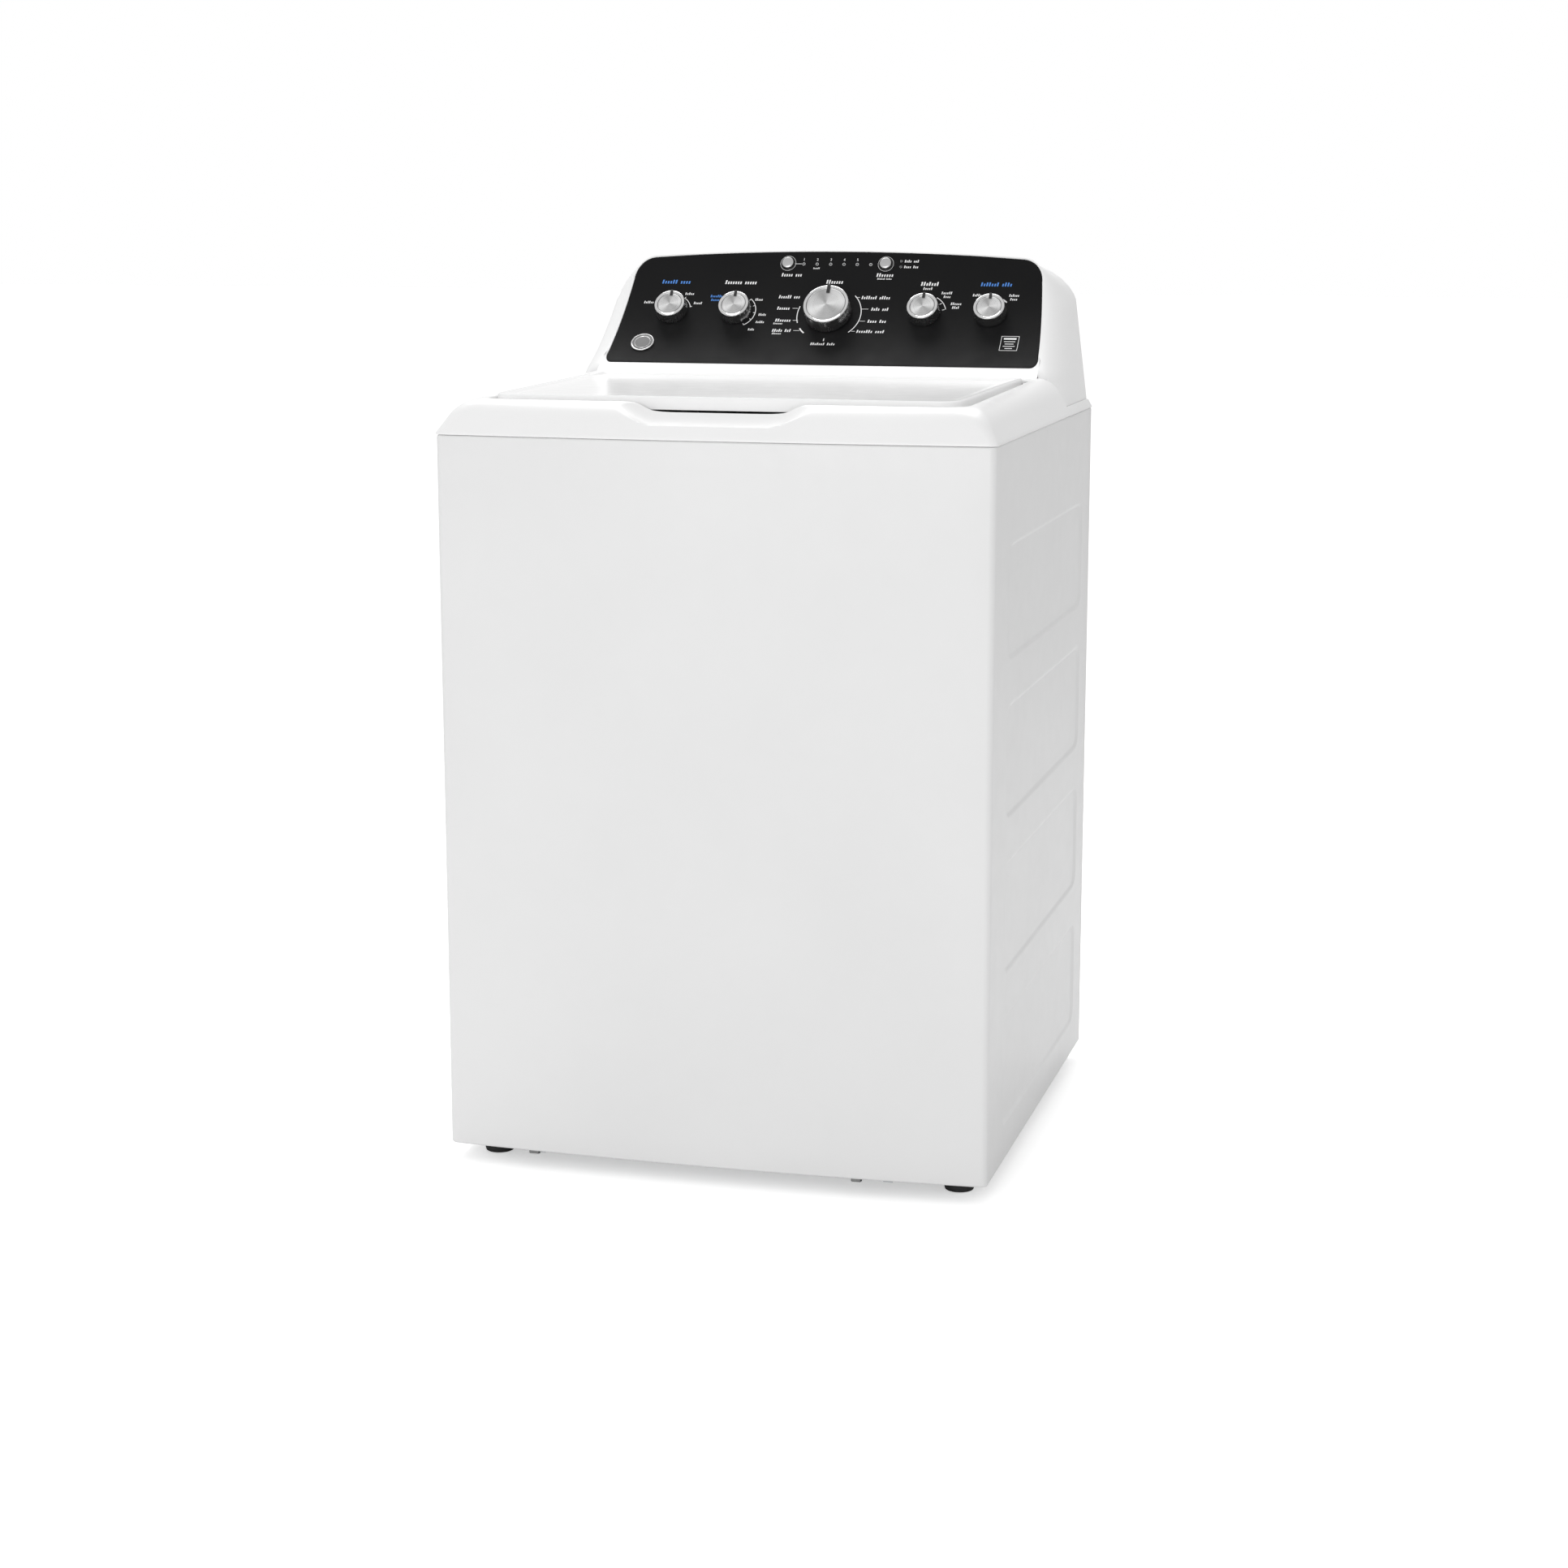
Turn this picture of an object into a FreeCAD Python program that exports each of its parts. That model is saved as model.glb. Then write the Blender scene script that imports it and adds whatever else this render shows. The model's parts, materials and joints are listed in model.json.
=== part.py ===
"""Top load washing machine: cabinet, cover, lid, console, suspended wash unit and drive.

Millimetres.  X points right, Y points back, Z points up.  The origin is on the floor
under the middle of the cabinet.
"""
import FreeCAD, Part
import math
import os

V = FreeCAD.Vector

# ---------------------------------------------------------------- driving dimensions
WIDTH = 685.8            # cabinet width, 27 in
DEPTH = 663.2            # cabinet depth from front corner to back edge
CROWN = 12.5             # how far the front panel bows out at its middle
CABINET_Z0 = 22.0        # underside of the cabinet above the floor
CABINET_Z1 = 909.2       # top edge of the cabinet
SHEET = 1.2              # steel sheet
HALF_W = WIDTH / 2
BACK_Y = DEPTH / 2
FRONT_Y = -DEPTH / 2
CROWN_R = (HALF_W ** 2 + CROWN ** 2) / (2 * CROWN)
CROWN_CY = FRONT_Y - CROWN + CROWN_R     # centre of the crowned front's arc
CORNER_R = 8.0

EMBOSS_TOPS = (788.0, 594.7, 401.4, 208.1)   # upper edges of the pressed side panels
EMBOSS_H = 140.0
EMBOSS_Y0, EMBOSS_Y1 = -241.0, 270.0
EMBOSS_R = 22.0
EMBOSS_DEPTH = 2.5

COVER_T = 2.5            # wall of the top cover
COVER_Z0 = 909.5
COVER_TOP = 955.0
COVER_LIP = 1.4          # overhang of the cover past the cabinet
COVER_SLOPE = (12.0, 933.0)       # inset and height where the straight slope ends
COVER_CREST = 48.4                # inset where the rounded slope meets the flat top
COVER_ARC_R = 42.0
DECK_Y = 157.0           # front of the low deck that carries the console
DECK_Z = 920.0
TRAY_X, TRAY_Y0, TRAY_Y1 = 296.5, -291.0, 133.5    # recess that the lid lies in
TRAY_Z = 936.0
TRAY_R, TRAY_BACK_R = 30.0, 12.0      # corner radii in front and at the hinge
MOUTH_X, MOUTH_Y0, MOUTH_Y1 = 262.0, -262.0, 92.0  # loading mouth
MOUTH_R = 70.0
SCOOP_X, SCOOP_Y0, SCOOP_Y1, SCOOP_Z = 105.0, -312.0, -268.0, 915.0
NOTCH = ((45.0, 930.0), (58.0, 932.0), (67.7, 936.0), (80.4, 942.0), (89.3, 948.0),
         (98.0, 954.0), (107.6, 959.5))            # right half of the hand notch

HINGE_Y, HINGE_Z = 119.0, 948.7
PIN_R = 5.0
STRIKE_X, STRIKE_Z = 222.0, 916.5
LID_X, LID_Y0, LID_Y1 = 287.0, -284.0, 130.0
LID_TOP, LID_SKIRT_Z = 959.6, 940.5
LID_T = 2.5
LID_FRONT_R, LID_BACK_R = 26.0, 12.0
LID_DISH = 6.0           # depth of the dished lid top
LID_RIM = 14.0           # width of the raised rim

CONSOLE_Y0 = DECK_Y + 0.3
CONSOLE_Z0 = DECK_Z + 0.3
CONSOLE_TOP = 1116.4
CONSOLE_T = 3.0
PANEL_CY, PANEL_CZ, PANEL_R = -22.6, 1250.7, 341.2  # arc of the hollow control face
FASCIA_T = 1.8
FLANK_X0, FLANK_SLOPE = 336.1, 0.127                # console side at its foot, and its lean
BLEND_X, BLEND_Y = 36.0, 77.0                       # rounded corner of the console front

SMALL_KNOBS = {"water_knob": -220.5, "temperature_knob": -130.3,
               "rinse_knob": 130.3, "boost_knob": 220.5}
SMALL_Z, MAIN_Z = 1035.2, 1032.7
SMALL_R, SMALL_H, SMALL_GAP = 22.0, 18.0, 1.2
MAIN_R, MAIN_H, MAIN_GAP = 31.5, 24.0, 2.2
SHAFT_R = 3.0
BUTTON_X, BUTTON_Z, BUTTON_R = 68.0, 1098.7, 8.2
LED_XS = (-46.1, -27.4, -8.6, 10.0, 28.4, 47.2)
LED_Z = 1098.0
LED_PAIR = ((89.0, 1102.6), (89.0, 1095.2))
EMBLEM_X, EMBLEM_Z, EMBLEM_R = -250.6, 993.6, 16.0

TUB_Y = -15.0            # axis of tub, basket, agitator and drive
TUB_R, TUB_T = 297.0, 3.0
TUB_Z0, TUB_Z1 = 250.0, 866.0
BASKET_R, BASKET_T = 268.0, 1.2
BASKET_Z0, BASKET_Z1 = 270.0, 850.0
HUB_R, SPIN_TUBE_R, DRIVE_SHAFT_R = 36.0, 26.0, 15.0
RUN_FIT = 0.05           # radial running clearance
PULLEY_R, MOTOR_PULLEY_R = 95.0, 19.0
PULLEY_Z0, PULLEY_Z1 = 126.0, 146.0
MOTOR_X = -175.0
BELT_GAP, BELT_T = 0.4, 4.0
PUMP_X, PUMP_Y = 150.0, -120.0
ROD_XY = 250.0           # suspension rods stand this far from the tub axis in X and Y
ROD_R = 4.0
ROD_TOP, ROD_BOTTOM = 892.0, 262.0
EAR_Z = 330.0
EAR_T = 6.0
SPRING_R, SPRING_WIRE = 12.0, 1.75

FOOT_X, FOOT_Y0, FOOT_Y1 = 298.0, -275.0, 275.0
FOOT_R, STUD_R = 18.5, 4.75
BRACE_Z = CABINET_Z0 + SHEET

INLET_XS, INLET_Z = (-230.0, -165.0), 850.0
INLET_R, INLET_LEN = 13.4, 12.0
FILL_X, FILL_Z = -197.5, 903.0           # water nozzle over the tub
DRAIN_X, DRAIN_Z, DRAIN_R, DRAIN_LEN = 285.0, 850.0, 15.9, 14.0
HOSE_Y = 258.0           # the drain hose climbs behind the tub here
CORD_X, CORD_Z, CORD_R = -295.0, 850.0, 4.5

PARTS = {}


# ---------------------------------------------------------------- small helpers
def box(x0, x1, y0, y1, z0, z1):
    return Part.makeBox(x1 - x0, y1 - y0, z1 - z0, V(x0, y0, z0))


def cyl(r, z0, z1, x=0.0, y=0.0):
    return Part.makeCylinder(r, z1 - z0, V(x, y, z0))


def tube(r_out, r_in, z0, z1, x=0.0, y=0.0):
    return cyl(r_out, z0, z1, x, y).cut(cyl(r_in, z0 - 1, z1 + 1, x, y))


def cyl_y(r, y0, y1, x, z):
    return Part.makeCylinder(r, y1 - y0, V(x, y0, z), V(0, 1, 0))


def cyl_x(r, x0, x1, y, z):
    return Part.makeCylinder(r, x1 - x0, V(x0, y, z), V(1, 0, 0))


def polygon(points):
    return Part.Face(Part.makePolygon(list(points) + [points[0]]))


def turned(profile, x=0.0, y=0.0):
    """Solid of revolution of an (r, z) outline about the vertical line through (x, y)."""
    face = polygon([V(x + r, y, z) for r, z in profile])
    return face.revolve(V(x, y, 0), V(0, 0, 1), 360)


def fuse(shapes):
    return shapes[0].multiFuse(shapes[1:]).removeSplitter() if len(shapes) > 1 else shapes[0]


def rounded_prism(x0, x1, y0, y1, z0, z1, r):
    solid = box(x0, x1, y0, y1, z0, z1)
    upright = [e for e in solid.Edges if abs(e.Vertexes[0].Z - e.Vertexes[-1].Z) > 1e-6]
    return solid.makeFillet(r, upright)


def mirrored(shape):
    return shape.mirror(V(0, 0, 0), V(1, 0, 0))


def arc(p0, p1, p2):
    return Part.Arc(p0, p1, p2).toShape()


def spline(points):
    curve = Part.BSplineCurve()
    curve.interpolate(points)
    return curve.toShape()


def panel_y(z, depth=0.0):
    """Y of the hollow control face at a height, a given depth behind its surface."""
    r = PANEL_R + depth
    return PANEL_CY + math.sqrt(r * r - (PANEL_CZ - z) ** 2)


def panel_placement(x, z):
    """Frame on the control face: origin on the surface, local Z out along its normal."""
    y = panel_y(z)
    tilt = math.degrees(math.atan2(y - PANEL_CY, PANEL_CZ - z))
    return FreeCAD.Placement(V(x, y, z), FreeCAD.Rotation(V(1, 0, 0), tilt))


def on_panel(shape, x, z):
    placed = shape.copy()
    placed.Placement = panel_placement(x, z)
    return placed


def tub_corners():
    return [(sx * ROD_XY, TUB_Y + sy * ROD_XY) for sx in (-1, 1) for sy in (-1, 1)]


def foot_places():
    return {"front_left_foot": (-FOOT_X, FOOT_Y0), "front_right_foot": (FOOT_X, FOOT_Y0),
            "rear_left_foot": (-FOOT_X, FOOT_Y1), "rear_right_foot": (FOOT_X, FOOT_Y1)}


# ---------------------------------------------------------------- cabinet
def cabinet_plan(inset, z0, z1, round_r):
    """Footprint prism of the cabinet with its bowed front, drawn in by inset."""
    x, y0, y1 = HALF_W - inset, FRONT_Y + inset, BACK_Y - inset
    front_mid = V(0, FRONT_Y - CROWN + inset, z0)
    edges = [arc(V(-x, y0, z0), front_mid, V(x, y0, z0)),
             Part.makeLine(V(x, y0, z0), V(x, y1, z0)),
             Part.makeLine(V(x, y1, z0), V(-x, y1, z0)),
             Part.makeLine(V(-x, y1, z0), V(-x, y0, z0))]
    solid = Part.Face(Part.Wire(edges)).extrude(V(0, 0, z1 - z0))
    front = [e for e in solid.Edges
             if abs(e.Vertexes[0].Z - e.Vertexes[-1].Z) > 1 and e.CenterOfMass.y < 0]
    return solid.makeFillet(round_r, front)


def emboss(grow):
    """Shallow tapered pads of both side panels, grown by the sheet for the inner face."""
    pads = []
    for top in EMBOSS_TOPS:
        wires = []
        for x, taper in ((HALF_W + 1, -2.0), (HALF_W - EMBOSS_DEPTH - grow, 3.0)):
            y0, y1 = EMBOSS_Y0 + taper - grow, EMBOSS_Y1 - taper + grow
            z0, z1 = top - EMBOSS_H + taper - grow, top - taper + grow
            r = EMBOSS_R - taper + grow
            k = r * (1 - math.sqrt(0.5))
            wires.append(Part.Wire([
                Part.makeLine(V(x, y0 + r, z0), V(x, y1 - r, z0)),
                arc(V(x, y1 - r, z0), V(x, y1 - k, z0 + k), V(x, y1, z0 + r)),
                Part.makeLine(V(x, y1, z0 + r), V(x, y1, z1 - r)),
                arc(V(x, y1, z1 - r), V(x, y1 - k, z1 - k), V(x, y1 - r, z1)),
                Part.makeLine(V(x, y1 - r, z1), V(x, y0 + r, z1)),
                arc(V(x, y0 + r, z1), V(x, y0 + k, z1 - k), V(x, y0, z1 - r)),
                Part.makeLine(V(x, y0, z1 - r), V(x, y0, z0 + r)),
                arc(V(x, y0, z0 + r), V(x, y0 + k, z0 + k), V(x, y0 + r, z0))]))
        pad = Part.makeLoft(wires, True, True)
        pads += [pad, mirrored(pad)]
    return pads


def cabinet_wrap():
    outer = cabinet_plan(0, CABINET_Z0, CABINET_Z1, CORNER_R)
    inner = cabinet_plan(SHEET, CABINET_Z0 + SHEET, CABINET_Z1 + 5, CORNER_R - SHEET)
    backing = [pad.common(outer) for pad in emboss(SHEET)]
    inner = inner.cut(Part.makeCompound(backing))
    wrap = outer.cut(inner)
    wrap = wrap.cut(Part.makeCompound(emboss(0)))
    floor_hole = cabinet_plan(24, CABINET_Z0 - 1, CABINET_Z0 + 3, 6)
    back_hole = box(-HALF_W + 24, HALF_W - 24, BACK_Y - 3, BACK_Y + 1,
                    CABINET_Z0 + 24, CABINET_Z1 + 1)
    return wrap.cut(floor_hole).cut(back_hole)


def cabinet_rear_panel():
    x, z0, z1 = HALF_W - 12, CABINET_Z0 + 14, CABINET_Z1 - 3
    plate = box(-x, x, BACK_Y + 0.1, BACK_Y + 0.1 + SHEET, z0, z1)
    holes = [cyl_y(INLET_R + 1.5, BACK_Y - 5, BACK_Y + 5, ix, INLET_Z) for ix in INLET_XS]
    holes.append(cyl_y(DRAIN_R + 1.0, BACK_Y - 5, BACK_Y + 5, DRAIN_X, DRAIN_Z))
    holes.append(cyl_y(CORD_R + 5.0, BACK_Y - 5, BACK_Y + 5, CORD_X, CORD_Z))
    return plate.cut(Part.makeCompound(holes))


def cabinet_braces():
    """Front and rear floor braces for the feet, and four top plates for the rods."""
    solids = []
    for y0, y1 in ((FRONT_Y + 4, FOOT_Y0 + 24), (FOOT_Y1 - 24, BACK_Y - 4)):
        rail = box(-HALF_W + 4, HALF_W - 4, y0, y1, BRACE_Z, BRACE_Z + 3)
        rail = rail.fuse(box(-HALF_W + 4, HALF_W - 4, y0, y0 + 3, BRACE_Z, BRACE_Z + 26))
        holes = [cyl(STUD_R + RUN_FIT, 0, 60, sx * FOOT_X, (FOOT_Y0, FOOT_Y1)[y0 > 0])
                 for sx in (-1, 1)]
        solids.append(rail.cut(Part.makeCompound(holes)).removeSplitter())
    for x, y in tub_corners():
        side_x = math.copysign(HALF_W - SHEET - 0.1, x)
        side_y = FRONT_Y + 10 if y < TUB_Y else BACK_Y - SHEET - 0.3
        near_x, near_y = x - math.copysign(24, x), y - math.copysign(24, y - TUB_Y)
        plate = box(min(near_x, side_x), max(near_x, side_x),
                    min(near_y, side_y), max(near_y, side_y), ROD_TOP - 14, ROD_TOP - 10)
        solids.append(plate.cut(cyl(ROD_R + 1, 0, 1000, x, y)))
    return Part.makeCompound(solids + front_tabs())


def front_tabs():
    """Two small bent service tabs under the front edge."""
    tabs = []
    for x in (-225.0, 220.0):
        upper = box(x - 6, x + 6, FRONT_Y + 6, FRONT_Y + 30, CABINET_Z0 - 1.3, CABINET_Z0 - 0.1)
        tabs.append(upper.fuse(box(x - 6, x + 6, FRONT_Y + 6, FRONT_Y + 7.2, 17, CABINET_Z0 - 0.1)))
    return tabs


def foot(x, y):
    pad = turned([(0, 0), (FOOT_R - 1.5, 0), (FOOT_R, 1.5), (FOOT_R, 8), (FOOT_R - 4, 11),
                  (11, 14), (0, 14)], x, y)
    nut = Part.makePolygon([V(x + 8.2 * math.cos(a), y + 8.2 * math.sin(a), 14)
                            for a in [math.radians(60 * i) for i in range(7)]])
    return fuse([pad, Part.Face(nut).extrude(V(0, 0, 6)), cyl(STUD_R, 10, 58, x, y)])


# ---------------------------------------------------------------- top cover and lid
def shoulder(t):
    """(inset, z) corners of the cover's sloping shoulder, its round stretch in short flats."""
    slope_d, slope_z = COVER_SLOPE
    centre_d, centre_z = COVER_CREST + t, COVER_TOP - t - COVER_ARC_R
    first = math.asin((slope_z - t - centre_z) / COVER_ARC_R)
    flats = 6
    angles = [first + (math.pi / 2 - first) * i / flats for i in range(flats + 1)]
    return [(-COVER_LIP + t, COVER_Z0 - t)] + [
        (centre_d - COVER_ARC_R * math.cos(a), centre_z + COVER_ARC_R * math.sin(a))
        for a in angles]


def cover_solid(t):
    """Outer form of the cover drawn in by t, with the bowed front shoulder cut to shape."""
    y0, y1 = FRONT_Y - 60, DECK_Y - t
    right = [V(HALF_W - d, y0, z) for d, z in shoulder(t)]
    left = [V(-p.x, y0, p.z) for p in reversed(right)]
    solid = polygon(right + left).extrude(V(0, y1 - y0, 0))
    front = [V(0, FRONT_Y - CROWN + d, z) for d, z in shoulder(t)]
    low, crest = front[0], front[-1]
    high_z, deep_z, far_y = crest.z + 20, low.z - 20, FRONT_Y - 120
    waste = polygon(front + [V(0, crest.y, high_z), V(0, far_y, high_z),
                             V(0, far_y, deep_z), V(0, low.y, deep_z)])
    waste.rotate(V(0, CROWN_CY, 0), V(0, 0, 1), -6)
    return solid.cut(waste.revolve(V(0, CROWN_CY, 0), V(0, 0, 1), 12))


def deck_solid(t):
    """Low rear deck with its bevelled side ledges."""
    x_foot, x_top = HALF_W + COVER_LIP - t, HALF_W - 4.3 - t
    y0, y1 = DECK_Y - 0.1 - t, BACK_Y - t
    outline = [V(-x_foot, y0, COVER_Z0 - t), V(x_foot, y0, COVER_Z0 - t),
               V(x_top, y0, DECK_Z - t), V(-x_top, y0, DECK_Z - t)]
    return polygon(outline).extrude(V(0, y1 - y0, 0))


def tray_solid(grow, z0, z1):
    """Prism of the lid's recess: wide round corners in front and tight ones at the hinge."""
    x, y0, y1 = TRAY_X + grow, TRAY_Y0 - grow, TRAY_Y1 + grow
    front = rounded_prism(-x, x, y0, y1 - 40, z0, z1, TRAY_R + grow)
    return front.fuse(rounded_prism(-x, x, y0 + 60, y1, z0, z1, TRAY_BACK_R + grow))


def notch_solid(grow, y0, y1):
    """Prism of the hand notch in the front of the cover."""
    right = [V(x + grow, y0, z - grow) for x, z in NOTCH]
    left = [V(-p.x, y0, p.z) for p in right]
    high = COVER_TOP + 30
    edges = [spline(right), spline(left), Part.makeLine(left[0], right[0]),
             Part.makeLine(right[-1], V(right[-1].x, y0, high)),
             Part.makeLine(V(right[-1].x, y0, high), V(left[-1].x, y0, high)),
             Part.makeLine(V(left[-1].x, y0, high), left[-1])]
    return Part.Face(Part.Wire(Part.__sortEdges__(edges))).extrude(V(0, y1 - y0, 0))


def top_cover():
    t = COVER_T
    outer = cover_solid(0)
    shell = outer.cut(cover_solid(t)).cut(
        box(-HALF_W, HALF_W, DECK_Y - 2 * t, DECK_Y + 1, COVER_Z0 - 1, DECK_Z - t))
    deck = deck_solid(0).cut(deck_solid(t))
    wall = box(-HALF_W + 20, HALF_W - 20, DECK_Y - t, DECK_Y, DECK_Z - t, COVER_TOP)
    tray = tray_solid(t, TRAY_Z - t, COVER_TOP + 5)
    scoop = rounded_prism(-SCOOP_X - t, SCOOP_X + t, SCOOP_Y0 - t, SCOOP_Y1 + t,
                          SCOOP_Z - t, TRAY_Z + t, 12 + t)
    sill = notch_solid(t, FRONT_Y - 40, SCOOP_Y0 + 4)
    solid = shell.multiFuse([deck, wall.common(outer), tray.common(outer),
                             scoop.common(outer), sill.common(outer)])
    cuts = [tray_solid(0, TRAY_Z, COVER_TOP + 30),
            rounded_prism(-SCOOP_X, SCOOP_X, SCOOP_Y0, SCOOP_Y1, SCOOP_Z, TRAY_Z + 0.5, 12),
            notch_solid(0, FRONT_Y - 40, TRAY_Y0 + 2),
            rounded_prism(-MOUTH_X, MOUTH_X, MOUTH_Y0, MOUTH_Y1, TRAY_Z - 9, TRAY_Z + 9, MOUTH_R),
            box(STRIKE_X - 7, STRIKE_X + 7, -284, -269, TRAY_Z - 9, TRAY_Z + 9),
            rounded_prism(-HALF_W + 40, HALF_W - 40, DECK_Y + 30, BACK_Y - 30,
                          DECK_Z - 9, DECK_Z + 9, 10),
            cyl_x(PIN_R + RUN_FIT, -TRAY_X - 8, TRAY_X + 8, HINGE_Y, HINGE_Z)]
    for cut in cuts:
        solid = solid.cut(cut)
    return solid.removeSplitter()


def lid_outline(inset, z0, z1):
    """Plan of the lid drawn in by inset: wide round corners in front, tight ones behind."""
    solid = box(-LID_X + inset, LID_X - inset, LID_Y0 + inset, LID_Y1 - inset, z0, z1)
    upright = [e for e in solid.Edges if abs(e.Vertexes[0].Z - e.Vertexes[-1].Z) > 1e-6]
    front = [e for e in upright if e.CenterOfMass.y < 0]
    solid = solid.makeFillet(LID_FRONT_R - inset / 2, front)
    upright = [e for e in solid.Edges if abs(e.Vertexes[0].Z - e.Vertexes[-1].Z) > 1e-6]
    back = [e for e in upright if e.CenterOfMass.y > LID_Y1 - inset - 1]
    return solid.makeFillet(LID_BACK_R - inset / 2, back)


def lid_panel():
    t = LID_T
    skin = lid_outline(0, LID_SKIRT_Z, LID_TOP)
    hollow = lid_outline(t, LID_SKIRT_Z - 1, LID_TOP - t - LID_DISH)
    rim = lid_outline(t, LID_SKIRT_Z - 1, LID_TOP - t).cut(
        lid_outline(LID_RIM - t, LID_SKIRT_Z - 5, LID_TOP + 5))
    dish = lid_outline(LID_RIM, LID_TOP - LID_DISH, LID_TOP + 5)
    solid = skin.cut(dish).cut(hollow).cut(rim)
    pins = cyl_x(PIN_R - 1, -LID_X - 1, LID_X + 1, HINGE_Y, HINGE_Z)
    return solid.cut(back_round()).cut(pins)


def back_round():
    """Waste outside the lid's rounded back edge, which turns about the hinge line."""
    r = LID_Y1 - HINGE_Y
    corner = box(-LID_X - 5, LID_X + 5, HINGE_Y, LID_Y1 + 5, LID_SKIRT_Z - 20, LID_TOP + 5)
    return corner.cut(cyl_x(r, -LID_X - 5, LID_X + 5, HINGE_Y, HINGE_Z))


def lid_liner():
    """Inner pan of the lid, with sockets for the hinge pins."""
    t = LID_T + 0.3
    z1 = LID_TOP - LID_DISH - LID_T - 0.3
    pan = lid_outline(t, LID_SKIRT_Z + 0.5, z1)
    pan = pan.cut(lid_outline(t + 8, LID_SKIRT_Z + 3, z1 + 5))
    bosses = []
    for sx in (-1, 1):
        x0, x1 = sorted((sx * (LID_X - t - 26), sx * (LID_X - t - 8)))
        bosses.append(box(x0, x1, HINGE_Y - 7, HINGE_Y + 6, LID_SKIRT_Z + 1, z1 - 0.2))
    pan = pan.multiFuse(bosses)
    pan = pan.cut(cyl_x(PIN_R - 1, -LID_X, LID_X, HINGE_Y, HINGE_Z)).cut(back_round())
    slot = box(STRIKE_X - 4.1, STRIKE_X + 4.1, -281.1, -271.9, LID_SKIRT_Z - 1, LID_SKIRT_Z + 10)
    return pan.cut(slot).removeSplitter()


def lid_hinge_pins():
    pins = []
    for sx in (-1, 1):
        inner, collar, outer = sx * (LID_X - 24), sx * (LID_X + 0.5), sx * (TRAY_X + 2)
        stem_x0, stem_x1 = sorted((inner, collar))
        head_x0, head_x1 = sorted((collar, outer))
        pins.append(cyl_x(PIN_R - 1, stem_x0, stem_x1, HINGE_Y, HINGE_Z).fuse(
            cyl_x(PIN_R, head_x0, head_x1, HINGE_Y, HINGE_Z)))
    return Part.makeCompound(pins)


def lid_bumpers():
    places = [(-230, -274), (262, -274), (-276, -150), (276, -150), (-276, 40), (276, 40)]
    return Part.makeCompound([cyl(4, TRAY_Z + 0.3, LID_SKIRT_Z + 0.45, x, y)
                              for x, y in places])


def lid_strike():
    """Blade under the lid with the round window that the lock bolt enters."""
    blade = box(STRIKE_X - 4, STRIKE_X + 4, -281, -272, STRIKE_Z - 7.5, LID_SKIRT_Z + 8)
    return blade.cut(cyl_x(4.2, STRIKE_X - 6, STRIKE_X + 6, -276.5, STRIKE_Z))


def lid_lock_housing():
    x, z = STRIKE_X, STRIKE_Z
    case = box(x - 17, x + 40, -289, -265.5, z - 12.5, TRAY_Z - COVER_T - 0.2)
    well = box(x - 8, x + 8, -284.5, -268.5, z - 10.5, TRAY_Z)
    bore = box(x + 7, x + 36, -280.3, -272.7, z - 3.8, z + 3.8)
    pocket = box(x - 13, x - 7, -280.3, -272.7, z - 3.8, z + 3.8)
    return case.cut(well).cut(bore).cut(pocket)


def lid_lock_bolt():
    return cyl_x(3.4, STRIKE_X + 8.5, STRIKE_X + 32, -276.5, STRIKE_Z)


# ---------------------------------------------------------------- console
def console_outline(t, y0, y1):
    """Prism of the console seen from behind: leaning sides, round shoulders, arched top."""
    def flank(z):
        return FLANK_X0 - FLANK_SLOPE * (z - CONSOLE_Z0) - t
    z0 = CONSOLE_Z0 - 3 * t
    knee = 1048.7
    shoulder = [(flank(knee), knee), (313.1 - t, 1063.8 - t / 2), (301.8 - t, 1077.7 - t),
                (279.5 - t, 1093.0 - t), (248.0 - t, 1104.2 - t)]
    right = [V(x, y0, z) for x, z in shoulder]
    left = [V(-p.x, y0, p.z) for p in right]
    foot_x = flank(z0)
    top = arc(right[-1], V(0, y0, CONSOLE_TOP - t), left[-1])
    edges = [Part.makeLine(V(foot_x, y0, z0), right[0]), spline(right), top, spline(left),
             Part.makeLine(left[0], V(-foot_x, y0, z0)),
             Part.makeLine(V(-foot_x, y0, z0), V(foot_x, y0, z0))]
    return Part.Face(Part.Wire(Part.__sortEdges__(edges))).extrude(V(0, y1 - y0, 0))


def console_profile(t, back):
    """Prism of the console seen from the side, with its hollow front."""
    x = HALF_W + 10
    y0 = CONSOLE_Y0 + t
    z_low = CONSOLE_Z0 - 3 * t
    r = PANEL_R + t
    z_start = PANEL_CZ - math.sqrt(r * r - (y0 - PANEL_CY) ** 2)
    z_top = CONSOLE_TOP - t
    z_mid = 0.5 * (z_start + z_top)
    pts = [V(-x, y0, z_low), V(-x, y0, z_start), V(-x, panel_y(z_mid, t), z_mid),
           V(-x, panel_y(z_top, t), z_top), V(-x, back, z_top), V(-x, back, z_low)]
    edges = [Part.makeLine(pts[0], pts[1]), arc(pts[1], pts[2], pts[3]),
             Part.makeLine(pts[3], pts[4]), Part.makeLine(pts[4], pts[5]),
             Part.makeLine(pts[5], pts[0])]
    return Part.Face(Part.Wire(edges)).extrude(V(2 * x, 0, 0))


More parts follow.
